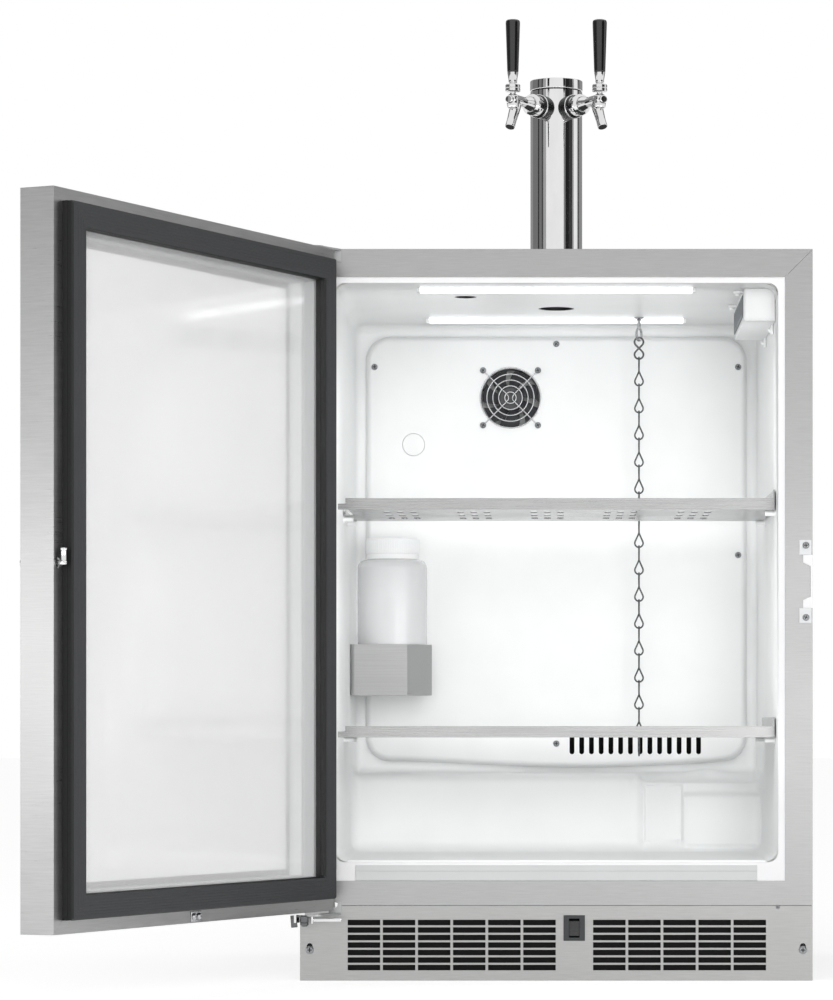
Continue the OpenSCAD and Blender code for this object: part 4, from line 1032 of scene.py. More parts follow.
@dataclass
class Cavity:
    """The moulded liner with its step, ledge, mound, boss and raised panel."""

    wall_x: float = 262.5
    mouth_y: float = 12.1
    floor_z: float = 140.0
    ceiling_z: float = 825.0
    step_y: float = 365.0
    step_z: float = 240.0
    back_y: float = 490.0
    pocket: float = 30.0
    corner: float = 15.5
    back_corner: float = 10.0
    top_corner: float = 14.0
    recess: float = 6.0
    drain_drop: float = 10.5
    drain_x: P2 = (103.0, 113.0)
    pocket_span: P4 = (-234.0, 234.0, 272.0, 792.0)
    panel_span: P4 = (161.0, 259.0, 148.0, 214.0)
    mound: P2 = (194.0, 436.0)
    knob: P3 = (101.0, 368.0, 234.0)
    slant: P2 = (112.0, 160.0)
    ports: tuple[P3, ...] = ((0.0, 287.0, 20.2), (-111.0, 154.0, 11.7))

    def section(self, drains: bool) -> list[tuple[P2, P2, float]]:
        """Draws the cavity's outline from the mouth's sill, round the back, to its head.

        Args:
            drains: Whether it is the right part, recessed and sloping to a sharp front edge.

        Returns:
            A place in Y and Z, the way inwards and the radius of the side corners, for each row.
        """
        rows: list[tuple[P2, P2, float]] = []
        face = self.step_y + (self.recess if drains else 0.0)
        top = self.step_z - (self.drain_drop if drains else 0.0)
        edge = 3.5 if drains else 12.0

        def line(a: P2, b: P2, way: P2, count: int, radii: P2) -> None:
            """Adds a straight run of rows, eased in height where the way inwards is up.

            Args:
                a: Where it starts, in Y and Z.
                b: Where it ends.
                way: The way inwards.
                count: Number of rows.
                radii: Radius of the side corners at its start and end.
            """
            for k in range(count):
                t = k / count
                height = a[1] + (b[1] - a[1]) * (self.ease(t) if way == (0, 1) else t)
                radius = radii[0] + (radii[1] - radii[0]) * t
                rows.append(((a[0] + (b[0] - a[0]) * t, height), way, radius))

        def arc(centre: P2, r: float, turn: P2, side: int, count: int, radius: float) -> None:
            """Adds a round of rows about a centre; side is -1 where the way inwards is to it.

            Args:
                centre: The centre, in Y and Z.
                r: The radius.
                turn: Where it starts and ends, in degrees.
                side: -1 or 1.
                count: Number of rows.
                radius: Radius of the side corners.
            """
            for k in range(count):
                a = math.radians(turn[0] + (turn[1] - turn[0]) * k / count)
                c, d = math.cos(a), math.sin(a)
                rows.append(((centre[0] + r * c, centre[1] + r * d), (side * c, side * d), radius))

        low, back, roof = self.corner, self.back_corner, self.top_corner
        end, head = self.back_y, self.ceiling_z
        line((self.mouth_y, self.floor_z), (face - low, self.floor_z), (0, 1), 20, (low, low))
        arc((face - low, self.floor_z + low), low, (-90, 0), -1, 9, low)
        line((face, self.floor_z + low), (face, top - edge), (-1, 0), 34, (low, low))
        arc((face + edge, top - edge), edge, (180, 90), 1, 9, low)
        line((face + edge, top), (end - back, self.step_z), (0, 1), 24, (low, back))
        arc((end - back, self.step_z + back), back, (-90, 0), -1, 12, back)
        line((end, self.step_z + back), (end, head - roof), (-1, 0), 30, (back, roof))
        arc((end - roof, head - roof), roof, (0, 90), -1, 9, roof)
        line((end - roof, head), (self.mouth_y, head), (0, -1), 150, (roof, low))
        rows.append(((self.mouth_y, head), (0, -1), low))
        return rows

    @staticmethod
    def ease(value: float) -> float:
        """Returns a smooth step from 0 at a value of 0 to 1 at a value of 1."""
        t = min(max(value, 0.0), 1.0)
        return t * t * (3 - 2 * t)

    def hump(self, value: float, low: float, high: float, soft: float) -> float:
        """Returns 1 between low and high, falling to 0 over soft."""
        return self.ease(min(value - low, high - value) / soft + 0.5)

    def rise(self, x: float, y: float, z: float) -> tuple[float, float]:
        """Returns how far the moulding moves towards the front and up at a point.

        Args:
            x: The point's X.
            y: Its Y.
            z: Its Z.

        Returns:
            The way towards the front, and the way up.
        """
        front = up = 0.0
        below, on_face = z < self.step_z - 14, y > self.step_y - 2
        if below and y > self.step_y - 20:
            x0, x1, z0, z1 = self.panel_span
            front += (self.recess + 1.0) * self.hump(x, x0, x1, 7) * self.hump(z, z0, z1, 7)
        if self.step_z - 14 < z < self.step_z + 12 and on_face:
            off_x, off_y = (x - self.mound[0]) / 30, (y - self.mound[1]) / 34
            up += 8.0 * math.exp(-(off_x**2) - off_y**2)
        if y > self.back_y - 2:
            x0, x1, z0, z1 = self.pocket_span
            front -= self.pocket * self.hump(x, x0, x1, 8) * self.hump(z, z0, z1, 8)
        start, stop = self.slant
        if self.floor_z + 14 < z and below and on_face and start < x < stop:
            front -= 4.0 * (2 * x - start - stop) / (stop - start)
        near = [(a - b) / c for a, b, c in zip((x, y, z), self.knob, (6.5, 9, 8))]
        knob = math.exp(-(near[0] ** 4) - near[1] ** 4 - near[2] ** 4)
        return front + 5.0 * knob, up + 2.5 * knob

    def columns(self) -> list[float]:
        """Returns the places of the mesh's columns along X, denser near the side walls.

        Returns:
            The places, from left to right.
        """
        near = (0.0, 0.3, 1.2, 2.7, 4.7, 7.2, 10.2, 14.0, 18.0, 23.0, 29.0, 36.0, 44.0, 52.0)
        flat = self.wall_x - near[-1]
        count = int(2 * flat / 3)
        middle = [-flat + 2 * flat * i / count for i in range(1, count)]
        return [-self.wall_x + d for d in near] + middle + [self.wall_x - d for d in reversed(near)]

    def build(self) -> None:
        """Makes the liner as one moulded sheet."""
        bm = bmesh.new()
        plain, drained = self.section(False), self.section(True)
        grid = []
        for x in self.columns():
            share = self.ease((x - self.drain_x[0]) / (self.drain_x[1] - self.drain_x[0]))
            row = []
            for (a, way_a, radius), (b, way_b, _) in zip(plain, drained):
                reach = max(abs(x) - (self.wall_x - radius), 0.0)
                e = radius - math.sqrt(max(radius**2 - reach**2, 0.0))
                way = way_b if share > 0.5 else way_a
                y = a[0] + (b[0] - a[0]) * share + way[0] * e
                z = a[1] + (b[1] - a[1]) * share + way[1] * e
                front, up = self.rise(x, y, z)
                row.append(bm.verts.new((x, y - front, z + up)))
            grid.append(row)
        inside = self.open_ports(bm)
        for a, b in zip(grid, grid[1:]):
            for i in range(len(a) - 1):
                corners = (a[i], a[i + 1], b[i + 1], b[i])
                if not inside.issuperset(corners):
                    bm.faces.new(corners)
        bm.faces.new(grid[0])
        bm.faces.new(grid[-1])
        bmesh.ops.recalc_face_normals(bm, faces=bm.faces)
        liner = keep(bm, "moulded_liner", LINER_WHITE, 40)
        centre = Vector((0, 0.2, 0.5))
        face = max(liner.data.polygons, key=lambda p: p.area)
        if face.normal.dot(centre - face.center) < 0:
            liner.data.flip_normals()
        fit_on(liner, "cabinet", "white_liner", "inner_liner")
        dam = block((-249, 13, 136.6), (249, 40, 142.2), 2.0, 4)
        fit_on(keep(dam, "floor_dam", LINER_WHITE), "cabinet", "white_liner")
        self.build_foam()
        dress(STRIP_WHITE, "breaker_strip")
        dress(SILL_GREY, "threshold_plate")

    def open_ports(self, bm: bmesh.types.BMesh) -> set[bmesh.types.BMVert]:
        """Moves the ceiling's points inside each round port out to its rim.

        Args:
            bm: The liner's points.

        Returns:
            The points that lay inside a port.
        """
        inside = set()
        for vert in bm.verts:
            for x, y, radius in self.ports:
                off = Vector((vert.co.x - x, vert.co.y - y))
                if vert.co.z > self.ceiling_z - 0.5 and off.length < radius:
                    off = off.normalized() * radius if off.length > 0.01 else Vector((radius, 0))
                    vert.co.x, vert.co.y = x + off.x, y + off.y
                    inside.add(vert)
        return inside

    def build_foam(self) -> None:
        """Makes the foam, drawn back where the moulding is recessed and slopes to its drain."""
        bm = in_mm(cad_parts["insulation_foam"].data)
        bmesh.ops.remove_doubles(bm, verts=bm.verts, dist=0.001)
        for vert in bm.verts:
            y, z = vert.co.y, vert.co.z
            if abs(vert.co.x) >= self.wall_x + 4:
                continue
            if -15 < y - self.step_y < 11 and self.floor_z - 3 < z < self.step_z - 2:
                vert.co.y += 9.0
            if self.step_y - 5 < y < self.back_y + 30 and -15 < z - self.step_z < -1:
                vert.co.z -= 12.0
        fit_on(keep(bm, "poured_foam", FOAM, 40), "cabinet", "foam", "insulation_foam")


@dataclass
class EvaporatorCover:
    """The moulded cover at the back of the cavity, its vents, plug, fan and guard."""

    half: float = 248.75
    top: float = 809.2
    low: float = 246.3
    face_y: float = 470.0
    edge: float = 15.0
    lip: float = 9.0
    corner: float = 32.0
    dip: float = 8.4
    dip_span: P2 = (28.0, 245.0)
    plug: P2 = (-186.0, 667.6)
    vents: int = 14
    vent_pitch: float = 12.7
    fan: P2 = (-59.7, 728.5)
    fan_hole: float = 38.2
    guard_screw: float = 35.75
    rings: tuple[float, ...] = (15.4, 23.0, 30.7, 39.2)
    wire: float = 0.9
    blades: int = 7

    def outline(self, e: float) -> list[P2]:
        """Returns the cover's outline drawn in by e, its lower edge dipping to the middle.

        Args:
            e: How far it is drawn in.

        Returns:
            The outline in X and Z.
        """
        r, half, out = self.corner, self.half, []
        side = self.low + self.dip

        def arc(x: float, z: float, a0: float, a1: float) -> None:
            """Adds a corner about a centre, from one angle to another in degrees.

            Args:
                x: The centre's X.
                z: Its Z.
                a0: The first angle.
                a1: The last angle.
            """
            for i in range(13):
                a = math.radians(a0 + (a1 - a0) * i / 12)
                out.append((x + (r - e) * math.cos(a), z + (r - e) * math.sin(a)))

        arc(-half + r, side + r, 180, 270)
        for i in range(1, 24):
            x = (-half + r) + (2 * half - 2 * r) * i / 24
            off = (x - self.dip_span[0]) / self.dip_span[1]
            out.append((x, side - self.dip * (1 - off**2) ** 2 + e))
        arc(half - r, side + r, 270, 360)
        arc(half - r, self.top - r, 0, 90)
        arc(-half + r, self.top - r, 90, 180)
        return out

    def build(self) -> None:
        """Makes the cover, its plug and vents, and a black sheet behind the vents that paints the duct's
        shade.
        """
        rim = [(0.0, 519.6), (0.0, self.face_y + self.edge)]
        for a in range(10, 91, 10):
            c, d = math.cos(math.radians(a)), math.sin(math.radians(a))
            rim.append((self.lip * (1 - c), self.face_y + self.edge * (1 - d)))
        loops = [[(x, y, z) for x, z in self.outline(e)] for e, y in rim]
        starts = [20.4 + self.vent_pitch * i for i in range(self.vents)]
        holes = [slot_outline(start, 264.0, 298.0, 3.15) for start in starts]
        x, z = self.fan
        holes += [ring_outline(x, z, self.fan_hole, 96), ring_outline(*self.plug, 14.8, 48)]
        whole = merge([loft(loops), panel(self.outline(self.lip), holes, self.face_y, 2.5)])
        cover = keep(whole, "evaporator_cover_moulding", COVER_WHITE, 50)
        fit_on(cover, "cabinet", "cover_white", "evaporator_cover")
        disc = turned([(0, 0), (14.4, 0), (14.4, 2.5), (0, 2.5)], 0.6, 3, 48)
        disc_at = aim((self.plug[0], self.face_y + 2.8, self.plug[1]), TO_FRONT)
        fit_on(keep(disc, "cover_plug", COVER_WHITE, turn=disc_at), "cabinet", "cover_white")
        # The black sheet behind the vent slots is painted shade standing in for the dark duct.
        shade_sheet = block((10, 484, 259), (196, 486, 312), 0.8)
        fit_on(keep(shade_sheet, "duct_baffle", FILTER_AND_SHADE), "cabinet", "fan_plastic")
        self.build_guard()
        self.build_rotor("evaporator_fan_blade", "evaporator_fan", (x, 472.6, z), 80.0)
        self.build_rotor("condenser_fan_blade", "condenser_fan", (145.0, 80.0, 58.6), 70.0)
        dress(FAN_DARK, "fan_frames")
        dress(FINS, "evaporator_coil")
        dress(COPPER, "condenser_coil")

    def build_guard(self) -> None:
        """Makes the wire guard: rings, and two bent wires that loop at the middle."""
        x, z = self.fan
        y = self.face_y - 3 * self.wire - 0.1
        paths: list[tuple[list[P3], bool]] = []
        for r in (7.4, *self.rings):
            paths.append(([(p, y, q) for p, q in ring_outline(x, z, r, 80)], True))
        reach = self.guard_screw
        half = [(reach, reach), (7.4, 7.4), (3.2, 3.0)]
        corner = [*half, (2.4, 0.0), *((a, -b) for a, b in reversed(half))]
        for s in (-1, 1):
            bend = rounded([(s * a, b) for a, b in corner], 5.0, 5, False)
            paths.append(([(x + a, y + 1.75, z + b) for a, b in bend], False))
            for t in (-1, 1):
                eye = ring_outline(x + s * reach, z + t * reach, 3.0, 24)
                paths.append(([(p, self.face_y - 1.1, q) for p, q in eye], True))
        thick = self.wire * MM
        guard = WIRES.run("fan_guard_wires", paths_mesh(paths), WIRE, 60, Radius=thick, Sides=10)
        fit_on(guard, "cabinet", "wire_chrome", "fan_guard")

    def build_rotor(self, node: str, body: str, place: P3, size: float) -> None:
        """Makes a fan's rotor: a domed hub and seven swept blades.

        Args:
            node: The CAD node that it stands for.
            body: The body that it rides on.
            place: The frame's front middle.
            size: Side of the frame.
        """
        tip, root = size / 2 * 0.955 - 1.4, size * 0.19
        rows, cells = 8, 6
        bm = bmesh.new()
        grid = []
        for i in range(rows + 1):
            out = i / rows
            r = root - 1 + (tip - root + 1) * i / rows
            sweep = math.radians(14) * out**1.5
            wide = math.radians(21) * (1 - 0.12 * i / rows)
            row = []
            for k in range(cells + 1):
                t = k / cells
                a = sweep + wide * (t - 0.5) * 2
                lift = 5.4 * (0.5 - t) * 2 + 1.2 * math.sin(math.pi * t)
                row.append(bm.verts.new((r * math.cos(a), r * math.sin(a), lift)))
            grid.append(row)
        for a, b in zip(grid, grid[1:]):
            for k in range(cells):
                bm.faces.new((a[k], a[k + 1], b[k + 1], b[k]))
        bmesh.ops.solidify(bm, geom=list(bm.faces), thickness=1.2)
        blade = keep(bm, node + ".blade", FAN_DARK, 60)
        base = points_mesh([(0, 0, 0)])
        bladed = POLAR.run(
            node + "_blades", base, FAN_DARK, 50, Piece=blade, Count=self.blades, Radius=0.00001
        )
        bpy.data.objects.remove(blade)
        dome = [(0, -8.6), (root * 0.55, -8.6), (root * 0.6, -8.2), (root - 1.5, -8.2)]
        dome += [(root, -6.5), (root, 8.0), (0, 8.0)]
        there = aim((place[0], place[1] + 10.6, place[2]), TO_BACK)
        hub = keep(turned(dome, 1.2, 4, 64), node + "_hub", FAN_DARK, turn=there)
        fit_on(moved(bladed, there), body, "fan_plastic", node)
        fit_on(hub, body, "fan_plastic")


@dataclass
class Fittings:
    """Lamps, control housing, screws, clips, strike and switch."""

    screw_face: float = 470.0
    lamp_reach: float = 165.0
    lamp_rows: P2 = (52.0, 400.0)
    strike_screws: P2 = (514.5, 429.3)
    bolt_circle: float = 46.0

    def build(self) -> None:
        """Makes the small fittings of the cabinet."""
        bars, ends = [], []
        for y in self.lamp_rows:
            bar = (-self.lamp_reach, y, 819.6), (self.lamp_reach, y + 14, UNDER_ROOF)
            bars.append(block(*bar, 1.4, 4))
            for x in (-self.lamp_reach, self.lamp_reach):
                ends.append(block((x - 2.2, y - 0.3, 819.3), (x + 2.2, y + 14.3, UNDER_ROOF), 0.8))
        fit_on(keep(merge(bars), "lamp_bars", LAMP), "cabinet", "lamp_white", "led_bars")
        fit_on(keep(merge(ends), "lamp_ends", HOUSING_WHITE), "cabinet", "housing_white")
        self.build_housing()
        self.build_screws()
        dress(LINER_WHITE, "shelf_clips")
        dress(STRIKE_STEEL, "lock_strike")
        dress(STRIP_WHITE, "strike_insert")
        dress(DARK_ABS, "switch_housing")
        dress(GLOSS_BLACK, "switch_rocker")

    def build_housing(self) -> None:
        """Makes the control housing with its seam, cable clips and blank side panel."""
        parts = [
            block((224.5, 54, 785.5), (262.2, 285, UNDER_ROOF), 1.2, 3),
            block((225.6, 52.6, 787.5), (261.0, 55.0, 824.0), 1.0),
        ]
        for y in (80, 240):
            parts.append(block((213.5, y, 821.6), (225, y + 12, UNDER_ROOF), 1.0))
            stud = turned([(0, -3.4), (2.6, -3.4), (3, 0)], 0.8, 3, 24)
            parts.append(placed(stud, put(218.5, y + 6, 822)))
            parts.append(block((259.2, y + 20, 774.5), (262.2, y + 32, 786), 1.0))
            stud = turned([(0, 3.2), (2.6, 3.2), (3, 0)], 0.8, 3, 24)
            parts.append(placed(stud, aim((259.4, y + 26, 779.5), (-1, 0, 0))))
        case = keep(merge(parts), "control_case", HOUSING_WHITE)
        fit_on(case, "cabinet", "housing_white", "control_housing")
        plate = [block((222.9, 75, 792), (224.4, 283, 818.4), 0.6)]
        for y in range(83, 275, 12):
            plate.append(block((222.4, y, 796), (223.4, y + 5, 814), 0.4))
        grille = keep(merge(plate), "control_grille", PANEL_GREY)
        fit_on(grille, "cabinet", "panel_grey", "control_panel")

    @staticmethod
    def screw_piece(radius: float) -> tuple[bpy.types.Object, bpy.types.Object]:
        """Makes a pan head screw with a cross recess, its head along +Z.

        Args:
            radius: Radius of the head.

        Returns:
            The screw, and a black floor for its recess, which is painted shade.
        """
        profile = [(0, 2.0), (radius * 0.62, 2.0), (radius, 0.9), (radius, 0), (1.6, 0), (1.6, -6)]
        head = keep(turned([*profile, (0, -7)], 0.5, 3, 28), "screw.head", SCREW_STEEL, 40)
        wide, long = radius * 0.13, radius * 0.56
        half = [(wide, -long), (wide, -wide), (long, -wide), (long, wide), (wide, wide), (wide, long)]
        star = half + [(-x, -z) for x, z in half]
        recess = loft([[(x, z, y) for x, z in star] for y in (0.7, 3.0)], cap=True)
        cross = keep(recess, "screw.cross", BLACK_ABS)
        # The black floor in the cross recess is painted shade in place of the steel recess's own shadow.
        floor = loft([[(x * 0.97, z * 0.97, y) for x, z in star] for y in (0.55, 0.95)], cap=True)
        cut = head.modifiers.new("cut", "BOOLEAN")
        cut.object, cut.operation, cut.solver = cross, "DIFFERENCE", "EXACT"
        mesh = settle(head)
        head.modifiers.clear()
        head.data = mesh
        bpy.data.objects.remove(cross)
        return head, keep(floor, "screw.floor", BLACK_ABS)

    def build_screws(self) -> None:
        """Sets every screw of the cabinet: cover, guard, grille, strike, tower and rear cover."""
        y = self.screw_face
        spots: list[P3] = [(-237, y, 768.8), (237, y, 768.8), (0, y, 798.8)]
        spots += [(-237, y, 523.7), (237, y, 523.7), (0, y, 277.9)]
        (x, z), reach = EvaporatorCover.fan, EvaporatorCover.guard_screw
        spots += [(x + a, y - 2, z + b) for a in (-reach, reach) for b in (-reach, reach)]
        spots += [(295, -2.05, z) for z in self.strike_screws]
        ahead, away = (math.pi / 2, 0.0, 0.0), (-math.pi / 2, 0.0, 0.0)
        turns = [(ahead[0], 0.35 * (i % 5), 0.0) for i in range(len(spots))]
        front = [(s * 291.5, 0.0, 36.3) for s in (-1, 1)]
        corners = [math.radians(45 + 90 * i) for i in range(4)]
        r, tower_y = self.bolt_circle, BeerTower.axis_y
        bolts = [(r * math.cos(a), tower_y + r * math.sin(a), 869.4) for a in corners]
        back = [(x, 575.0, z) for x in (-285, -95, 95, 285) for z in (32, 202)]
        back += [(x, 575.0, z) for x in (-285, 285) for z in (240, 450, 650, 845)]
        head, floor = self.screw_piece(3.5)
        for name, places, ways, size in (
            ("cabinet_screws", spots, turns, 1.17),
            ("grille_screws", front, [ahead] * 2, 1.4),
            ("seam_screw", [(261.9, 0.0, 87.0)], [ahead], 0.74),
            ("tower_bolts", bolts, [(0.0, 0.0, 0.0)] * 4, 1.15),
            ("rear_screws", back, [away] * len(back), 1.0),
        ):
            node = ("screws",) if name == "cabinet_screws" else ()
            for title, piece, finish, slot, nodes in (
                (name, head, SCREW_STEEL, "screw_steel", node),
                # The recess copies are the black floors: painted shade in each screw's cross.
                (name + "_recess", floor, BLACK_ABS, "black_plastic", ()),
            ):
                base = points_mesh(places, ways)
                made = REPEAT.run(title, base, finish, 35, Piece=piece, Size=size)
                fit_on(made, "cabinet", slot, *nodes)
        for piece in (head, floor):
            bpy.data.objects.remove(piece)


@dataclass
class DrainBottle:
    """The translucent bottle, its ribbed cap and its steel bracket."""

    place: P2 = (-210.6, 400.0)
    base: float = 341.55
    radius: float = 44.9
    height: float = 173.0
    neck: float = 32.3
    cap: float = 34.5
    ribs: int = 72

    def build(self) -> None:
        """Makes the bottle with its wall, and the cap with its ribs."""
        r, h, t = self.radius, self.height, 1.4
        outer: list[P2] = [(0, 1.6), (r * 0.6, 1.2), (r - 12, 0.2), (r - 5, 0), (r, 5)]
        outer += [(r, h - 10.5), (r - 1.3, h - 5.6), (r - 4.2, h - 2.2), (r - 8.5, h - 0.5)]
        outer += [(self.neck, h), (self.neck, h + 21)]
        shell = rounded(outer, 9.5, 7, False)
        inner = [(max(p - t, 0.0), q + (t if p < r - 1 and q < 20 else 0)) for p, q in reversed(shell)]
        inner[-1] = (0.0, 1.6 + t)
        at = put(*self.place, self.base)
        bottle = keep(lathe(shell + inner, 72), "bottle_shell", BOTTLE_MILK, 40, at)
        fit_on(bottle, "cabinet", "bottle_plastic", "drain_bottle")
        c = self.cap
        profile = [(32.6, 0.4), (c - 1.4, 0.4), (c - 1.4, 6.4), (c - 0.2, 7.4), (c - 0.2, 25.2)]
        profile += [(c - 1.6, 26.9), (c - 8, 26.9), (c - 9, 26.2), (0, 26.2), (0, 21.4), (32.6, 21.4)]
        top = put(*self.place, self.base + self.height)
        body = keep(turned(profile, 0.7, 3, 72), "cap_body", CAP_WHITE, 40, top)
        fit_on(body, "cabinet", "cap_plastic", "bottle_cap")
        rib = keep(block((-0.5, -0.55, 8), (0.25, 0.55, 24.6), 0.3, 2), "cap.rib", CAP_WHITE)
        base, out = points_mesh([(0, 0, 0)]), (c - 0.25) * MM
        ribs = POLAR.run("cap_ribs", base, CAP_WHITE, 50, Piece=rib, Count=self.ribs, Radius=out)
        bpy.data.objects.remove(rib)
        fit_on(moved(ribs, top), "cabinet", "cap_plastic")
        dress(BRACKET_STEEL, "bottle_bracket")


@dataclass
class HangingChain:
    """Eye bolt, two hooks and a single jack chain.

    A link reaches into the next by the overlap, and hangs in a hook with the slack.
    """

    place: P2 = (106.0, 388.0)
    hook_top: float = 799.0
    hook: float = 27.5
    link: float = 36.5
    wire: float = 1.08
    count: int = 14
    slack: float = 2.3
    overlap: float = 1.95

    @staticmethod
    def pear(length: float, radius: float) -> list[P2]:
        """Returns a pear-shaped loop whose tip is at the origin and whose round end hangs below.

        Args:
            length: Length of the loop.
            radius: Radius of its round end.

        Returns:
            The loop in X and Z.
        """
        half = math.asin(radius / (length - radius))
        turn = [half - (math.pi + 2 * half) * i / 20 for i in range(21)]
        arc = [(radius * math.cos(a), -(length - radius) + radius * math.sin(a)) for a in turn]
        return [(arc[0][0] * t, arc[0][1] * t) for t in (0.08, 0.5)] + arc + [
            (arc[-1][0] * t, arc[-1][1] * t) for t in (0.5, 0.08)
        ]

    def double(
        self, name: str, length: float, radius: float, wire: float, square: bool
    ) -> bpy.types.Object:
        """Makes one piece with a loop at each end.

        Args:
            name: The piece's name.
            length: Length between the middles of the end wires.
            radius: Radius of the round ends.
            wire: Radius of the wire.
            square: Whether the upper loop stands square to the lower one.

        Returns:
            The piece, with its waist at the origin.
        """
        low = self.pear(length / 2, radius)
        down = [(x, 0.0, z) for x, z in low]
        up = [(0.0, x, -z) if square else (x, 0.0, -z) for x, z in low]
        base = paths_mesh([(down + up, True)])
        return WIRES.run(name, base, CHAIN_ZINC, 60, Radius=wire * MM, Sides=10)

    def build(self) -> None:
        """Makes the eye bolt, the hooks and the links."""
        x, y = self.place
        first = self.hook_top - self.hook + self.slack
        pitch = self.link - self.overlap
        link_piece = self.double("chain.link", self.link, 5.3, self.wire, True)
        spots = points_mesh(
            [(x, y, first - i * pitch - self.link / 2) for i in range(self.count)]
        )
        chain = REPEAT.run("chain_wire_links", spots, CHAIN_ZINC, 60, Piece=link_piece, Size=1.0)
        fit_on(chain, "hanging_chain", "chain_steel", "chain_links")
        bpy.data.objects.remove(link_piece)
        low = first - pitch * (self.count - 1) - self.link + self.slack
        hook = self.double("chain.hook", self.hook, 5.7, 1.25, False)
        ends = points_mesh(
            [(x, y, self.hook_top - self.hook / 2), (x, y, low - self.hook / 2)],
            [(0, 0, 0), (0, 0, math.pi / 2)],
        )
        hooks = REPEAT.run("chain_hooks", ends, CHAIN_ZINC, 60, Piece=hook, Size=1.0)
        fit_on(hooks, "hanging_chain", "chain_steel", "s_hooks")
        bpy.data.objects.remove(hook)
        eye = put(x, y, 803.0) @ Matrix.Rotation(math.radians(65), 4, "Z")
        loop = paths_mesh([([(p, 0.0, q) for p, q in ring_outline(0, 0, 8, 48)], True)])
        ring = WIRES.run("eye_ring", loop, ZINC, 60, Radius=1.6 * MM, Sides=16)
        fit_on(moved(ring, eye), "cabinet", "chain_steel", "chain_anchor")
        profile = [(0, UNDER_ROOF), (6.5, UNDER_ROOF), (6.5, 823.4), (3.4, 822.2), (2.4, 820.5)]
        stem = turned([*profile, (2.2, 811.5), (0, 810.5)], 0.7, 4, 40)
        fit_on(keep(stem, "eye_stem", ZINC, turn=put(x, y, 0)), "cabinet", "chain_steel")


